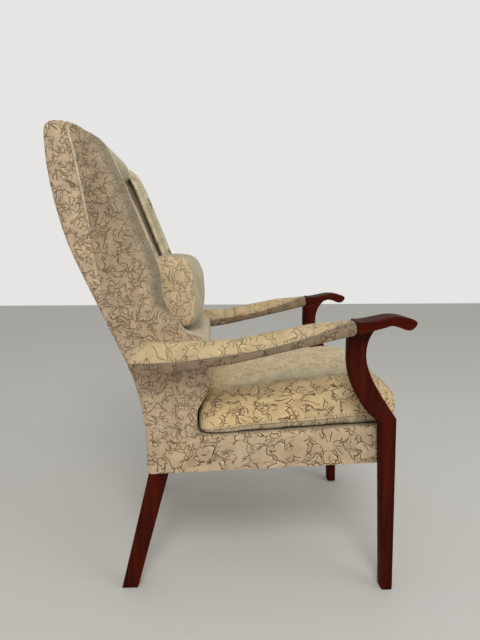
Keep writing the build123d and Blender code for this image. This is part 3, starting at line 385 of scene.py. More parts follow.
def outline_solid(corners, half, start=None):
    """Solid of a side outline, (reach, height, corner radius), from x = start to x = half."""
    bm = bmesh.new()
    left = -half if start is None else start
    verts = [bm.verts.new(place(reach, height, left)) for reach, height, _ in corners]
    bm.faces.new(verts)
    count = len(corners)
    for index, (vert, corner) in enumerate(zip(verts, corners)):
        if not corner[2]:
            continue
        before = place(*corners[index - 1][:2]) - place(*corner[:2])
        after = place(*corners[(index + 1) % count][:2]) - place(*corner[:2])
        turn = math.pi - before.angle(after)
        bmesh.ops.bevel(
            bm, geom=[vert], offset=corner[2] * MM * math.tan(turn / 2), offset_type="OFFSET",
            segments=max(3, int(turn * 16)), profile=0.5, affect="VERTICES", material=-1,
        )
    # The bevels leave the outline's points in an order that differs from run to run.
    outline = [vert.co.copy() for vert in max(bm.faces, key=lambda f: f.calc_area()).verts]
    first = outline.index(min(outline, key=lambda co: co[:]))
    outline = outline[first:] + outline[:first]
    bm.clear()
    near = [bm.verts.new(co) for co in outline]
    far = [bm.verts.new(co + Vector((half - left, 0, 0))) for co in outline]
    bm.faces.new(near)
    bm.faces.new(far[::-1])
    for index in range(len(outline)):
        bm.faces.new((near[index - 1], near[index], far[index], far[index - 1]))
    bmesh.ops.recalc_face_normals(bm, faces=bm.faces)
    return bm


def slice_off(bm, point, normal):
    """Cuts away what lies on the normal's side of a plane and closes the cut."""
    geom = bm.verts[:] + bm.edges[:] + bm.faces[:]
    cut = bmesh.ops.bisect_plane(
        bm, geom=geom, dist=1e-6, plane_co=point, plane_no=normal, clear_outer=True,
    )
    edges = [g for g in cut["geom_cut"] if isinstance(g, bmesh.types.BMEdge)]
    bmesh.ops.holes_fill(bm, edges=edges)


def join(parts):
    """One bmesh of several; the others are freed."""
    whole = bmesh.new()
    for part in parts:
        mesh = bpy.data.meshes.new("part")
        part.to_mesh(mesh)
        part.free()
        whole.from_mesh(mesh)
        bpy.data.meshes.remove(mesh)
    return whole


def node_copy(names, ahead_limit=None):
    """Joined copy of CAD nodes, without what lies ahead of a limit in Y."""
    parts = []
    for name in names:
        bm = bmesh.new()
        bm.from_mesh(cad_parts[name].data)
        bmesh.ops.remove_doubles(bm, verts=bm.verts, dist=1e-5)
        if ahead_limit is not None:
            slice_off(bm, Vector((0, ahead_limit, 0)), Vector((0, -1, 0)))
        parts.append(bm)
    return join(parts)


def remeshed(name, bm, voxel):
    """Closed form of even quads round everything in the bmesh."""
    piece = make_object(name, bm)
    modifier = piece.modifiers.new("remesh", "REMESH")
    modifier.mode = "VOXEL"
    modifier.voxel_size = voxel
    return evaluated(piece)


def relax(piece, rounds, where=None):
    """Rounds a piece off, or only the part of it where where(co) is true."""
    bm = bmesh.new()
    bm.from_mesh(piece.data)
    chosen = [v for v in bm.verts if where is None or where(v.co)]
    for _ in range(rounds):
        bmesh.ops.smooth_vert(
            bm, verts=chosen, factor=0.5, use_axis_x=True, use_axis_y=True, use_axis_z=True,
        )
    bm.to_mesh(piece.data)
    bm.free()


# --- Outline of the back, seen from the side ---
REAR = [(550, 330, 0), (550, 450, 430), (741, 874, 600), (741, 1043, 22), (700, 1043, 90), (628, 1014, 48)]
WING_FRONT = [(602, 966, 300), (564, 868, 200), (517, 748, 60), (505, 664, 50), (463, 600, 24)]
LOWER_FRONT = [(412, 580, 24), (405, 470, 60), (437, 418, 40), (437, 330, 0)]
HEAD_FRONT = [(656, 1030, 40)]  # the head behind its roll
HEAD_ROLL = [(725, 1040, 0), (672, 1045, 45), (640, 1024, 30), (634, 985, 24), (700, 955, 0)]
ROLL_HALF = 163
HOLLOW = [(646, 1000, 14), (678, 950, 20), (540, 612, 20)]
INSIDE_PAD = [(676, 950, 20), (574, 670, 20), (564, 640, 12), (531, 622, 20), (566, 770, 60), (622, 900, 60),
              (654, 962, 18)]
PAD_HALF = 160  # half width of the inside pad
RIDGE_FOOT = (500, 358.6)
RIDGE_HEAD = (690, 1043)
TOE = math.radians(17)  # the wings' outer sides turn in ahead of the ridge
WING_THICK = 42
HEAD_TURN = 19  # the outside wing's cloth turns in by this much
ARM_TURN = 6  # and by this much below the wing


def toe_plane(side, depth):
    """Point and outward normal of a wing's outer side, moved inwards by a depth in millimetres."""
    foot = place(*RIDGE_FOOT, x=side * SEAT_HALF)
    rise = place(*RIDGE_HEAD) - place(*RIDGE_FOOT)
    up = rise.normalized()
    back = Vector((0, up.z, -up.y))
    out = Vector((side * math.cos(TOE), 0, 0)) - back * math.sin(TOE)
    return foot - out * depth * MM, out


def in_mm(co):
    """Reach, height and sideways distance of a point in millimetres."""
    return (co.y - ZERO_Y) / MM, co.z / MM, co.x / MM


def ease(value):
    """Smooth step from 0 to 1."""
    value = max(0.0, min(1.0, value))
    return value * value * (3 - 2 * value)


def along(line, height):
    """Reach at a height on an open line of (reach, height) points that climbs."""
    if height <= line[0][1]:
        return line[0][0]
    for (start, low), (end, high) in zip(line, line[1:]):
        if height <= high:
            return start + (end - start) * (height - low) / (high - low)
    return line[-1][0]


def height_on(line, reach):
    """Height at a reach on an open line of (reach, height) points that runs to the rear."""
    return along([point[::-1] for point in line], reach)


def straight(line, height):
    """Reach at a height on the endless line through two points."""
    (start, low), (end, high) = line
    return start + (end - start) * (height - low) / (high - low)


SIDE_FRONT = [(437, 418), (405, 470), (412, 580), (505, 664), (517, 748), (564, 868), (602, 966),
              (628, 1014)]
SEAM = [(655, 810), (693, 1029)]  # seam between the rear border and the outside wing
REAR_FACE = [(550, 450), (741, 874)]
RIDGE = [RIDGE_FOOT, RIDGE_HEAD]
RAIL_TOP = [(-2, 387), (550, 359)]
RAIL_LOW = [(-2, 298), (550, 281)]
SWELL_LEAD = 25  # the sides start to turn in this far behind the ridge
EDGE_TURN = 10  # the front edge turns in by this much more
ROLL_DEPTH = 37  # crease of the wing's front roll behind its edge
ROLL_LOW = 612  # heights where the crease starts and ends
ROLL_HIGH = 1012
CREASE_DEPTH = 19
CREASE_HALF = 13
ROLL_SWELL = 10


def swell_side(co):
    """Rounds the side ahead of its ridge, flat in the CAD, into a curve with the same front edge."""
    reach, height, across = in_mm(co)
    break_at = along(RIDGE, height)
    start = break_at + SWELL_LEAD * ease((height - 400) / 150)
    span = start - along(SIDE_FRONT, height)
    if reach >= start or span <= 0 or height < 380:
        return co
    half = SEAT_HALF / MM
    flat = half - max(0, break_at - reach) * math.tan(TOE)
    drop = (span - (start - break_at)) * math.tan(TOE)
    share = min(1.0, (start - reach) / span)
    curved = half - drop * share ** 2 - EDGE_TURN * share ** 8
    outer = ease((abs(across) - flat + 26) / 16) * ease((height - 380) / 25)
    return Vector((co.x + math.copysign((curved - flat) * MM * outer, co.x), co.y, co.z))


def crease_rolls(bm):
    """Presses a deep crease into each wing's inner face, behind the roll along its front edge."""
    def offset(co):
        reach, height, across = in_mm(co)
        if not ROLL_LOW < height < ROLL_HIGH or abs(across) < 120:
            return None
        return (reach - along(SIDE_FRONT, height) - ROLL_DEPTH) * 0.93

    def inward(vert):
        return vert.normal.x * math.copysign(1, vert.co.x) < -0.35

    for _ in range(2):
        near = []
        for edge in bm.edges:
            gaps = [offset(v.co) for v in edge.verts]
            if None not in gaps and all(inward(v) for v in edge.verts):
                if min(map(abs, gaps)) < CREASE_HALF + 6:
                    near.append(edge)
        bmesh.ops.subdivide_edges(bm, edges=near, cuts=1, use_grid_fill=True)
        bm.normal_update()
    for vert in bm.verts:
        gap = offset(vert.co)
        if gap is None or not inward(vert):
            continue
        ends = ease((vert.co.z / MM - ROLL_LOW) / 30) * ease((ROLL_HIGH - vert.co.z / MM) / 30)
        swell = ROLL_SWELL * math.sin(math.pi * max(0.0, min(1.0, 1 + gap / ROLL_DEPTH)))
        press = CREASE_DEPTH * max(0.0, 1 - abs(gap) / CREASE_HALF)
        facing = ease(-vert.normal.x * math.copysign(1, vert.co.x) / 0.7)
        vert.co.x += math.copysign((press - swell) * MM * ends * facing, vert.co.x)


def back_shell():
    """The back with its wings and the seat box as one closed form with softened edges."""
    core = outline_solid(REAR[:-1] + HEAD_FRONT + HOLLOW + LOWER_FRONT, SEAT_HALF)
    for side in SIDES.values():
        slice_off(core, *toe_plane(side, 0))
    parts = [core, outline_solid(HEAD_ROLL, ROLL_HALF * MM)]
    for side in SIDES.values():
        ends = sorted((0.0, side * SEAT_HALF))
        wing = outline_solid(REAR + WING_FRONT + LOWER_FRONT, ends[1], ends[0])
        slice_off(wing, *toe_plane(side, 0))
        point, normal = toe_plane(side, WING_THICK)
        slice_off(wing, point, -normal)
        parts.append(wing)
    low = [(reach, height - 15, 0) for reach, height in RAIL_LOW]
    top = [(reach, height, 0) for reach, height in RAIL_TOP]
    parts.append(outline_solid([top[0], *low, top[1]], SEAT_HALF))
    shell = remeshed("back_shell", join(parts), 0.005)
    relax(shell, 3)
    relax(shell, 16, lambda co: co.z > 0.60 and in_mm(co)[0] < along(REAR_FACE, co.z / MM) - 75)
    relax(shell, 6, lambda co: co.z > 0.945 and in_mm(co)[0] < 660)
    for vert in shell.data.vertices:
        vert.co = swell_side(vert.co)
    return shell


# --- The shell cut into the panels that an upholsterer sews ---
def side_cut(start, end):
    """Plane through a line of the side view: its point and its normal, left of start to end."""
    run = place(*end) - place(*start)
    return place(*start), Vector((0, -run.z, run.y)).normalized()


def split_along(bm, plane, chosen=None, clear=False):
    """Splits faces, all or the chosen ones, along a plane; clear drops what lies beyond it."""
    faces = [f for f in bm.faces if chosen is None or chosen(f.calc_center_median(), f.normal)]
    edges = dict.fromkeys(e for f in faces for e in f.edges)
    verts = dict.fromkeys(v for f in faces for v in f.verts)
    bmesh.ops.bisect_plane(
        bm, geom=[*verts, *edges, *faces], dist=1e-6,
        plane_co=plane[0], plane_no=plane[1], clear_outer=clear,
    )


REAR_CORNER = 246  # seam between the rear panel and the borders
DECK_HALF = 226  # opening in the seat's top, over straps and cloth
DECK_FRONT = 24
DECK_REAR = 430


def on_deck(co, normal):
    reach, height, _ = in_mm(co)
    return normal.z > 0.6 and height < 400 and reach < DECK_REAR + 20


def panel_of(co, normal):
    """Which panel of the covering a point of the shell belongs to."""
    reach, height, across = in_mm(co)
    side = "left" if across > 0 else "right"
    ahead = reach < straight(SEAM, height)
    rail_top = straight([point[::-1] for point in RAIL_TOP], reach)
    if abs(across) < REAR_CORNER and (normal.y > 0.5 or (not ahead and height > 900)):
        return "outside_back"
    if height < rail_top + 1.5:
        if normal.y < -0.6 and reach < 20 or abs(across) < DECK_HALF - 1 and reach < DECK_FRONT:
            return "front_rail_panel"
        if reach < DECK_REAR + 30 or abs(across) > REAR_CORNER - 20:
            return f"side_rail_panel_{side}"
    if not ahead and abs(across) > REAR_CORNER - 12:
        return f"side_border_{side}"
    point, out = toe_plane(1 if across > 0 else -1, 0)
    depth = (point - co).dot(out) / MM
    beyond_ridge = reach > along(RIDGE, height) and abs(across) > REAR_CORNER - 12
    if ahead and (depth < (HEAD_TURN if height > 600 else ARM_TURN) or beyond_ridge):
        return f"outside_wing_{side}"
    if depth < WING_THICK + 6 and height > 604:
        return f"inside_wing_{side}"
    return "inside_back"


PANEL_NODES = {
    "outside_back": ["outside_back_cover"],
    "front_rail_panel": ["front_rail_cover"],
    "inside_back": ["inside_back_cover", "back_foam"],
}
for label in SIDES:
    PANEL_NODES[f"side_rail_panel_{label}"] = [f"side_rail_cover_{label}"]
    PANEL_NODES[f"side_border_{label}"] = [f"back_border_{label}"]
    PANEL_NODES[f"outside_wing_{label}"] = [f"outside_wing_cover_{label}"]
    PANEL_NODES[f"inside_wing_{label}"] = [f"inside_wing_cover_{label}", f"wing_pad_{label}"]


def seam_sink(co):
    """How far a seam lies under the faces beside it, in millimetres."""
    reach, height, _ = in_mm(co)
    if height < 395:
        return 3.0 * (1 - ease((reach - 440) / 60)) if reach > 400 else 0.6
    if reach > along(REAR_FACE, height) - 30:
        return 0.8
    if height > 420:
        behind = ease((reach - along(SIDE_FRONT, height) - 15) / 30)
        return 1.8 * behind + 2.5 * (1 - behind) * ease((height - 640) / 60)
    return 1.8


CLOTH_WALL = 0.004  # cloth and the wadding behind it


def back_panels():
    """The shell's panels, each with its seams sunk and a wall of cloth."""
    shell = back_shell()
    bm = bmesh.new()
    bm.from_mesh(shell.data)
    bpy.data.objects.remove(shell)
    bm.normal_update()
    crease_rolls(bm)
    bm.normal_update()
    split_along(bm, side_cut(*reversed(RAIL_LOW)), clear=True)
    split_along(bm, side_cut(*RAIL_TOP), lambda co, normal: abs(normal.z) < 0.8 and co.z < 0.42)
    split_along(bm, side_cut(*SEAM), lambda co, normal: co.z > 0.58)
    for side in SIDES.values():
        across = Vector((side, 0, 0))
        split_along(bm, (across * REAR_CORNER * MM, across), lambda co, normal: co.z > 0.27)
        split_along(bm, (across * DECK_HALF * MM, across), on_deck)
        above = toe_plane(side, HEAD_TURN)
        below = toe_plane(side, ARM_TURN)
        inner = toe_plane(side, WING_THICK + 6)
        split_along(bm, above, lambda co, normal: co.z > 0.595 and co.x * side > 0)
        split_along(bm, below, lambda co, normal: 0.35 < co.z < 0.605 and co.x * side > 0)
        split_along(bm, inner, lambda co, normal: co.z > 0.60 and co.x * side > 0)
    for reach in (DECK_FRONT, DECK_REAR):
        split_along(bm, (place(reach, 0), Vector((0, 1, 0))), on_deck)
    bmesh.ops.remove_doubles(bm, verts=bm.verts, dist=0.0011)
    bm.normal_update()
    deck = []
    for face in bm.faces:
        reach, height, across = in_mm(face.calc_center_median())
        if on_deck(face.calc_center_median(), face.normal):
            if abs(across) < DECK_HALF and DECK_FRONT < reach < DECK_REAR:
                deck.append(face)
    bmesh.ops.delete(bm, geom=deck, context="FACES")
    label = bm.faces.layers.int.new("panel")
    names = sorted(PANEL_NODES)
    for face in bm.faces:
        face[label] = names.index(panel_of(face.calc_center_median(), face.normal))
    for vert in bm.verts:
        if len({f[label] for f in vert.link_faces}) > 1:
            vert.co -= vert.normal * seam_sink(vert.co) * MM
    whole = bpy.data.meshes.new("shell")
    bm.to_mesh(whole)
    bm.free()
    pieces = {}
    for index, name in enumerate(names):
        part = bmesh.new()
        part.from_mesh(whole)
        label = part.faces.layers.int["panel"]
        others = [f for f in part.faces if f[label] != index]
        bmesh.ops.delete(part, geom=others, context="FACES")
        piece = make_object(name, part)
        wall = piece.modifiers.new("cloth", "SOLIDIFY")
        wall.thickness = CLOTH_WALL
        wall.offset = -1
        pieces[name] = evaluated(piece)
    bpy.data.meshes.remove(whole)
    return pieces


def welt(name, surface, points, radius, sink=0.0, closed=False, start_sink=None):
    """Piping laid on a surface along points, sunk by a share of its radius."""
    curve = bpy.data.curves.new(name, "CURVE")
    curve.dimensions = "3D"
    curve.bevel_depth = radius
    curve.bevel_resolution = 2
    curve.use_fill_caps = not closed
    spline = curve.splines.new("NURBS")
    spline.points.add(len(points) - 1)
    for index, (knot, point) in enumerate(zip(spline.points, points)):
        _, spot, normal, _ = surface.closest_point_on_mesh(point)
        share = sink
        if start_sink is not None:
            share += (start_sink - sink) * ease(1 - index / 3)
        knot.co = (*(spot - normal * share * radius), 1)
    spline.use_cyclic_u = closed
    spline.order_u = 3
    spline.use_endpoint_u = not closed
    holder = new_object(name, curve)
    mesh = bpy.data.meshes.new_from_object(holder)
    bpy.data.objects.remove(holder)
    return new_object(name, mesh)


# --- Stuffed pieces ---
STIFFNESS = 15.0
SIM_FRAMES = 20


def inflate(piece, pressure, cap, hold=None):
    """Swells a form as stuffing does its cover; no point travels further than the cap.

    Hold(co) is the share of its travel that a point keeps.
    """
    rest = [v.co.copy() for v in piece.data.vertices]
    cloth = piece.modifiers.new("stuffing", "CLOTH")
    cloth.settings.use_pressure = True
    cloth.settings.uniform_pressure_force = pressure
    cloth.settings.effector_weights.gravity = 0.0
    cloth.settings.tension_stiffness = STIFFNESS
    cloth.settings.compression_stiffness = STIFFNESS
    cloth.settings.quality = 4
    cloth.point_cache.frame_start = 1
    cloth.point_cache.frame_end = SIM_FRAMES
    scene = bpy.context.scene
    for number in range(1, SIM_FRAMES + 1):
        scene.frame_set(number)
    graph = bpy.context.evaluated_depsgraph_get()
    swollen = piece.evaluated_get(graph).data
    moved = [v.co.copy() for v in swollen.vertices]
    piece.modifiers.remove(cloth)
    scene.frame_set(1)
    for vert, start, end in zip(piece.data.vertices, rest, moved):
        travel = end - start
        if travel.length > cap:
            travel *= cap / travel.length
        vert.co = start + travel * (1 if hold is None else hold(start))
    piece.data.update()


def refined(piece):
    modifier = piece.modifiers.new("smooth", "SUBSURF")
    modifier.levels = 1
    modifier.render_levels = 1
    return evaluated(piece)


def shaped(piece, move):
    """Moves every vertex to what move(co) gives."""
    for vert in piece.data.vertices:
        vert.co = move(vert.co)
    piece.data.update()


def inside_pad():
    """Padding between the wings, stuffed so that it crowns and falls away to a slot on each side."""
    bm = outline_solid(INSIDE_PAD, PAD_HALF * MM)
    piece = remeshed("inside_back_pad", bm, 0.006)
    relax(piece, 4)
    inflate(piece, 3.0, 0.006)
    relax(piece, 2)
    return piece


SEAT_SEAM = [(-26, 415), (52, 410), (124, 403), (204, 397), (310, 391), (422, 376)]
SEAT_LOW, SEAT_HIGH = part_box("seat_cushion_cover")
SEAT_HALF_WIDTH = SEAT_HIGH.x / MM
SEAT_REAR = (SEAT_HIGH.y - ZERO_Y) / MM
SEAT_NOSE = (SEAT_LOW.y - ZERO_Y) / MM


def sat_in(co):
    """Hollow that sitting leaves inside a cushion's edges, and its rear end stuffed full."""
    reach, height, across = in_mm(co)
    trough = math.exp(-((abs(across) - 138) / 30) ** 2) * ease((reach - 20) / 60) * ease((390 - reach) / 60)
    dimple = math.exp(-((abs(across) - 120) / 26) ** 2 - ((reach - 95) / 30) ** 2)
    top = ease((height - 440) / 30)
    full = 14 * ease((reach - SEAT_REAR + 70) / 60) * ease((460 - height) / 30)
    full -= 10 * ease((30 - reach) / 40) * math.exp(-((height - 438) / 24) ** 2)
    return Vector((co.x, co.y + MM * full, co.z - (9 * trough + 6 * dimple) * MM * top))


def seam_gap(co):
    """Height above the seat cushion's seam in millimetres."""
    reach, height, _ = in_mm(co)
    return height - height_on(SEAT_SEAM, reach)


def seat_cushion():
    """Box cushion with a crown, drawn-in sides and a flat underside."""
    piece = remeshed("seat_cushion", node_copy(["seat_cushion_cover", "seat_cushion_core"]), 0.005)
    relax(piece, 3)
    inflate(piece, 3.0, 0.024, hold=lambda co: 0.3 * ease(abs(seam_gap(co)) / 30))
    shaped(piece, sat_in)
    return refined(piece)


def around(corner, spacing):
    """Places round the seat cushion's plan, at its seam."""
    corners = []
    middle = (SEAT_REAR + SEAT_NOSE) / 2
    deep = (SEAT_REAR - SEAT_NOSE) / 2
    for turn in range(4):
        side = 1 if turn in (0, 3) else -1
        end = 1 if turn < 2 else -1
        for step in range(4):
            angle = math.radians(90 * turn + 30 * step)
            x = side * (SEAT_HALF_WIDTH - corner) + corner * math.cos(angle)
            reach = middle + end * (deep - corner) + corner * math.sin(angle)
            corners.append((reach, x))
    places = []
    for start, end in zip(corners, corners[1:] + corners[:1]):
        steps = max(1, round(math.dist(start, end) / spacing))
        for step in range(steps):
            reach = start[0] + (end[0] - start[0]) * step / steps
            x = start[1] + (end[1] - start[1]) * step / steps
            places.append(place(reach, height_on(SEAT_SEAM, reach), x * MM))
    return places


LUMBAR = [(482, 594, 22), (428, 606, 36), (424, 660, 60), (428, 722, 44), (448, 768, 36), (498, 773, 26),
          (590, 752, 14), (530, 600, 20)]
LUMBAR_HALF = 178
END_SEAM = 161  # the end caps are sewn in this far from the middle
END_CREASE = 4.0


def lumbar_cushion():
    """Thick cushion whose front swells past its end caps, each of them sewn in with a crease."""
    bm = outline_solid(LUMBAR, LUMBAR_HALF * MM)
    piece = remeshed("lumbar_cushion", bm, 0.0045)
    relax(piece, 3)
    middle = place(498, 684)

    def draw_in(co):
        share = ease((abs(co.x) / MM - 96) / (LUMBAR_HALF - 96))
        fall = 1 - 0.24 * share ** 2
        front = max(0.0, min(1.0, (middle.y - co.y) / 0.06))
        height_fall = 1 - 0.05 * share ** 2
        return Vector((
            co.x,
            middle.y + (co.y - middle.y) * (1 - (1 - fall) * front),
            middle.z + (co.z - middle.z) * height_fall,
        ))

    shaped(piece, draw_in)
    inflate(piece, 3.0, 0.022, hold=lambda co: 0.15)
    relax(piece, 3)
    piece = refined(piece)
    bm = bmesh.new()
    bm.from_mesh(piece.data)
    bm.normal_update()
    for vert in bm.verts:
        depth = END_CREASE * math.exp(-((abs(vert.co.x) / MM - END_SEAM) / 3.5) ** 2)
        if abs(vert.normal.x) < 0.8 and vert.normal.y < 0.6:
            vert.co -= vert.normal * depth * MM
    bm.to_mesh(piece.data)
    bm.free()
    return piece


def arm_pad(name):
    """Pad on the left or the right arm, stuffed round its board."""
    bm = node_copy([f"arm_cover_{name}", f"arm_foam_{name}"])
    board = node_copy([f"arm_board_{name}"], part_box(f"arm_cover_{name}")[0].y + 0.001)
    piece = remeshed(f"arm_pad_{name}", join([bm, board]), 0.004)
    relax(piece, 5)
    inflate(piece, 2.0, 0.006, hold=lambda co: 0.5)
    return refined(piece)


def timber(node, name):
    """The sawn piece with its edges eased by sanding."""
    piece = remeshed(name, node_copy([node]), 0.002)
    relax(piece, 2)
    return piece


# --- Cloth on the pieces ---
EVEN_PAINTED_SHADE = 0.16  # share of painted shade that every panel gets; alone it darkens the pile evenly


def lay_cloth(piece, chart, painted_sheen=0.0, gilt=0.0, painted_shade=EVEN_PAINTED_SHADE):
    """Lays the figured cloth on a piece: chart(co) gives its place on the cloth, in metres.

    The share of painted sheen, which pales the pile and hides its figure, gilt, how golden it is,
    and the share of painted shade are each a number or a function of a place.
    """
    mesh = piece.data
    for name, value in (("painted_sheen", painted_sheen), ("gilt", gilt), ("painted_shade", painted_shade)):
        attribute = mesh.attributes.new(name, "FLOAT", "POINT")
        if callable(value):
            shares = [max(0.0, min(1.0, value(v.co))) for v in mesh.vertices]
        else:
            shares = [value] * len(mesh.vertices)
        attribute.data.foreach_set("value", shares)
    spots = [chart(v.co) for v in mesh.vertices]
    flat = [part for loop in mesh.loops for part in spots[loop.vertex_index]]
    mesh.uv_layers.new(name="cloth").data.foreach_set("uv", flat)
    return piece


def seat_chart(co):
    """Chart that runs over the seat cushion's top and down its sides without a break."""
    drop = max(0.0, SEAT_HIGH.z - co.z) * 0.8
    side = max(-1.0, min(1.0, (co.x - (SEAT_LOW.x + SEAT_HIGH.x) / 2) / 0.1))
    nose = max(0.0, min(1.0, (SEAT_LOW.y + 0.07 - co.y) / 0.07))
    return co.y - nose * drop, co.x + side * drop


def arm_chart(co):
    """Chart that runs along an arm's top and down its sides."""
    reach, height, _ = in_mm(co)
    drop = max(0.0, 14 - height + height_on(ARM_SEAM, reach)) * MM
    outer = abs(co.x) > ARM_MIDDLE
    return co.y, co.x + math.copysign(drop, co.x if outer else -co.x)


def side_chart(co):
    """Chart of a side face that turns round the rear corner without a break."""
    reach, height, _ = in_mm(co)
    turned = max(0.0, SEAT_HALF - abs(co.x)) if reach > along(RIDGE, height) + 15 else 0.0
    return co.y + turned, co.z


def rear_chart(co):
    reach, height, _ = in_mm(co)
    return co.x, co.z + max(0.0, along(REAR_FACE, height) - reach - 20) * MM


def front_chart(co):
    return co.x + 0.3, co.z + co.y


def end_chart(co):
    """Chart of a cushion's front that turns round its ends."""
    past = max(0.0, abs(co.x) - 0.13)
    share = min(1.0, past / 0.04)
    return co.x + math.copysign(share, co.x) * (co.y - 0.12), co.z + (1 - share) * co.y


def rail_chart(co):
    return co.y, co.z + max(0.0, 0.25 - abs(co.x))


CHARTS = {
    "outside_back": rear_chart, "inside_back": front_chart, "front_rail_panel": front_chart,
    "side_rail_panel_left": rail_chart, "side_rail_panel_right": rail_chart,
}


def wing_edge(co):
    """Share of the band along the wing's front edge that gets painted sheen and painted shade."""
    reach, height, _ = in_mm(co)
    gap = reach - along(SIDE_FRONT, height)
    return (1 - ease((gap - 6) / 46)) * ease((height - 590) / 60)


# Painted sheen along the wing's front edge.
def wing_painted_sheen(co):
    return 0.6 * wing_edge(co)


def hollow_painted_shade(co):
    """Painted shade inside the wings, behind the front roll."""
    reach, height, _ = in_mm(co)
    return ease((reach - along(SIDE_FRONT, height) - ROLL_DEPTH + 6) / 8)


def wing_painted_shade(co):
    """Painted shade on the wings: more towards the head, and most of all in the band along the front edge.
    """
    high = 0.12 + 0.3 * ease((co.z / MM - 560) / 60) + 0.3 * ease((co.z / MM - 680) / 180)
    return max(high, wing_edge(co))


def dress(piece, material, body, slot, *nodes, fill=None):
    """Material, body, slot (not used) and the CAD nodes that a piece stands for."""
    piece.data.materials.clear()
    piece.data.materials.append(material)
    piece.data.shade_smooth()
    piece.data.set_sharp_from_angle(angle=math.radians(50))
    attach(piece, body)
    if nodes:
        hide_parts(*nodes)
    return piece


def seat_painted_sheen(co):
    """Painted sheen: the pile shows smooth and pale where the cushion is sat on, and partly so below its
    seam.
    """
    _, height, across = in_mm(co)
    trough = math.exp(-((abs(across) - 134) / 38) ** 2) * ease((height - 435) / 25)
    crown = 0.5 * ease((120 - abs(across)) / 40) * ease((height - 435) / 25)
    return max(0.85 * trough, crown, 0.35 * ease(-seam_gap(co) / 4))


def on_cap(co):
    """Share of a lumbar cushion's end cap."""
    return ease((abs(co.x) / MM - END_SEAM) / 5)


def stretched(name, half, start, end, line, lift, node):
    """Cloth tacked out flat along a line of the side view, in place of a CAD node."""
    bm = bmesh.new()
    bmesh.ops.create_grid(bm, x_segments=24, y_segments=24, size=0.5)
    for vert in bm.verts:
        reach = start + (end - start) * (vert.co.y + 0.5)
        vert.co = place(reach, height_on(line, reach) + lift, vert.co.x * 2 * half * MM)
    piece = make_object(name, bm)
    dress(piece, CALICO, "frame", "lining_cloth", node)


ARM_MIDDLE = (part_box("arm_cover_left")[0].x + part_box("arm_cover_left")[1].x) / 2
ARM_SEAM = [(100, 635), (137, 624), (180, 608), (228, 593), (282, 577), (363, 567), (415, 559), (462, 552),
            (520, 550), (560, 550)]


def above_arm_seam(co):
    reach, height, _ = in_mm(co)
    return ease((height - height_on(ARM_SEAM, reach) + 2) / 5)


# --- The chair ---
add_camera()
VELVET = cut_velvet("cut_velvet", 54, 0.85, False, 0.95, 1.4)
SMALL_VELVET = cut_velvet("cut_velvet_scrolls", 38, 0.62, True, 0.75, 1.8)
# Mahogany under satin varnish: deep red-brown with long grain, its highlights soft and narrow.
MAHOGANY = {axis: wood(f"mahogany_{axis}", axis, "#360C05", "#4F1506", 70.0, 0.26) for axis in "yz"}
# Planed beech, bare: pale and pinkish, with fine short flecks.
BEECH = wood("planed_beech", "x", "#B58A60", "#D2AE84", 60.0, 0.04)
# Birch plywood, sawn and bare.
PLYWOOD = wood("birch_plywood", "z", "#B79467", "#D8BC90", 40.0, 0.02)
# Elastic webbing: broad brown straps of coarse thread.
WEBBING = woven("elastic_webbing", "#6E5A44", 2.4)
# Unbleached calico over the straps and under the seat: thin, matt, pale.
CALICO = woven("unbleached_calico", "#B3A58A", 1.6)
STEEL = zinc_plated_steel()

for name, piece in back_panels().items():
    small = name.startswith(("side_border", "outside_wing", "inside_wing"))
    # Painted sheen on the inside back and the wings' inner faces and front band; painted shade in the wings'
    # hollows and on the outer wings.
    painted_sheen = {"inside_wing": 1.0, "outside_wing": wing_painted_sheen, "inside_back": 0.75}
    painted_sheen = next((value for key, value in painted_sheen.items() if name.startswith(key)), 0.0)
    painted_shade = {"inside_wing": hollow_painted_shade, "outside_wing": wing_painted_shade}
    painted_shade = next((value for key, value in painted_shade.items() if name.startswith(key)), EVEN_PAINTED_SHADE)
    lay_cloth(piece, CHARTS.get(name, side_chart), painted_sheen=painted_sheen, painted_shade=painted_shade)
    dress(piece, SMALL_VELVET if small else VELVET, "frame", "cover_fabric", *PANEL_NODES[name], fill=0.8)
RIDGE_SEAM = [(648, 772), (653, 800), (661, 848), (667, 890), (673, 933), (681, 983), (688, 1012),
              (692, 1030)]
for label, side in SIDES.items():
    surface = bpy.data.objects[f"outside_wing_{label}"]
    seam = [place(*point, side * 0.26) for point in RIDGE_SEAM]
    cord = welt(f"ridge_welt_{label}", surface, seam, 0.003, sink=0.1, start_sink=1.6)
    # Painted sheen on the ridge welt.
    dress(lay_cloth(cord, side_chart, painted_sheen=0.7), SMALL_VELVET, "frame", "cover_fabric")
# Painted sheen on the inside pad.
dress(lay_cloth(inside_pad(), front_chart, painted_sheen=0.5), VELVET, "frame", "cover_fabric", fill=0.8)
seat = seat_cushion()
# Painted sheen on the seat's top and painted shade below its seam; the top is golden.
lay_cloth(seat, seat_chart, painted_sheen=seat_painted_sheen, gilt=lambda co: 0.85 * ease(seam_gap(co) / 4),
          painted_shade=lambda co: 0.4 * ease(-seam_gap(co) / 4))
dress(seat, VELVET, "seat_cushion", "cover_fabric", "seat_cushion_cover", "seat_cushion_core", fill=0.85)
cord = welt("seat_piping", seat, around(42, 45), 0.003, sink=-0.2, closed=True)
# Painted sheen on the seat piping, which is golden.
lay_cloth(cord, side_chart, painted_sheen=0.3, gilt=0.8)
dress(cord, VELVET, "seat_cushion", "cover_fabric", "seat_cushion_piping")
lumbar = lumbar_cushion()
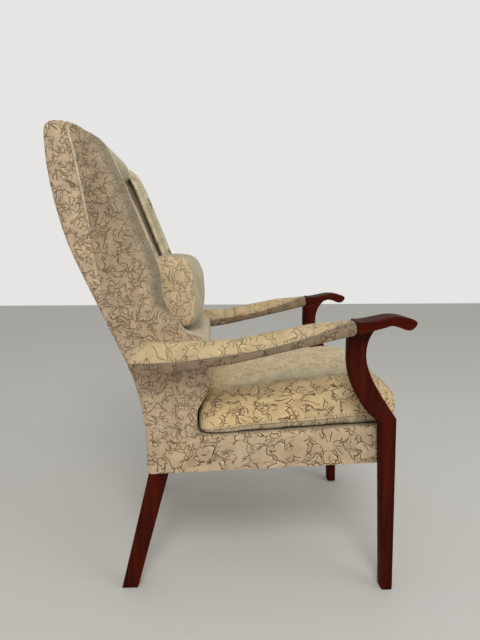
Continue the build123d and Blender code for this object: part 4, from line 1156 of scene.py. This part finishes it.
# Painted sheen and painted shade on the lumbar cushion's front, less sheen and no shade on its end caps.
lay_cloth(lumbar, end_chart, painted_sheen=lambda co: 1 - 0.75 * on_cap(co), gilt=0.5,
          painted_shade=lambda co: 0.5 * (1 - on_cap(co)))
dress(lumbar, SMALL_VELVET, "frame", "cover_fabric", "lumbar_cushion_cover", "lumbar_cushion_core", fill=0.8)
for label, side in SIDES.items():
    pad = arm_pad(label)
    # Painted shade on the arm's band below its seam, with a little painted sheen; the top is golden.
    lay_cloth(pad, arm_chart, painted_sheen=lambda co: 0.1 + 0.2 * above_arm_seam(co), gilt=above_arm_seam,
              painted_shade=lambda co: 1.0 - 0.8 * above_arm_seam(co))
    dress(pad, VELVET, "frame", "cover_fabric", f"arm_cover_{label}", f"arm_foam_{label}", fill=0.9)
    seam = [place(*point, side * 0.33) for point in ARM_SEAM]
    cord = welt(f"arm_welt_{label}", pad, seam, 0.0018, sink=0.5)
    # Painted sheen and full painted shade on the arm welt.
    dress(lay_cloth(cord, side_chart, painted_sheen=0.7, painted_shade=1.0), VELVET, "frame", "cover_fabric")
    for node in ("front_leg", "arm_board", "back_post"):
        name = f"{node}_{label}"
        grain = MAHOGANY["y" if node == "arm_board" else "z"]
        slot = "frame_wood" if node == "back_post" else "show_wood"
        dress(timber(name, f"{name}_shaped"), grain, "frame", slot, name)

stretched("platform_sheet", 238, 12, 523, RAIL_TOP, -0.4, "platform_cloth")
stretched("bottom_sheet", 250, 4, 544, RAIL_LOW, 0.6, "bottom_cloth")

FINISHES = {"wing_board": PLYWOOD, "back_straps": WEBBING, "seat_straps": WEBBING, "block_screws": STEEL,
            "arm_bolts": STEEL, "back_cloth": CALICO, "platform_cloth": CALICO, "bottom_cloth": CALICO}
for name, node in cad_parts.items():
    finish = next((value for key, value in FINISHES.items() if name.startswith(key)), BEECH)
    node.data.materials.clear()
    node.data.materials.append(finish)


# --- Stage ---
def add_stage():
    """Pale floor and a soft grey world that looks near white to the camera and in reflections."""
    bm = bmesh.new()
    bmesh.ops.create_grid(bm, x_segments=1, y_segments=1, size=6)
    floor = make_object("floor", bm)
    material, _, shader = new_material("pale_floor")
    shader["Base Color"].default_value = linear("#DAD8D3")
    shader["Roughness"].default_value = 0.8
    floor.data.materials.append(material)
    world = bpy.data.worlds.new("studio")
    world.use_nodes = True
    bpy.context.scene.world = world
    tree = world.node_tree
    path = add(tree, "LightPath")
    seen = path["Is Camera Ray"]
    for ray in ("Is Glossy Ray", "Is Transmission Ray"):
        seen = add(tree, "Math", [seen, path[ray]], operation="MAXIMUM")[0]
    tones = {"Factor": seen, "A": linear("#B4B4B2"), "B": linear("#E6E5E3")}
    tone = add(tree, "Mix", tones, **COLOURS)["Result"]
    tree.links.new(tone, tree.nodes["Background"].inputs["Color"])


def add_lamp(name, spot, aim, size, power):
    lamp = new_object(name, bpy.data.lights.new(name, "AREA"))
    lamp.data.shape = "DISK"
    lamp.data.size = size
    lamp.data.energy = power
    lamp.location = spot
    lamp.rotation_euler = (Vector(aim) - Vector(spot)).to_track_quat("-Z", "Y").to_euler()


add_stage()
add_lamp("key", (-2.7, -0.1, 2.9), (0, 0, 0.5), 1.4, 50)
add_lamp("fill", (-1.6, -2.6, 2.2), (0, 0, 0.6), 2.0, 14)
bpy.context.scene.view_settings.view_transform = "Standard"
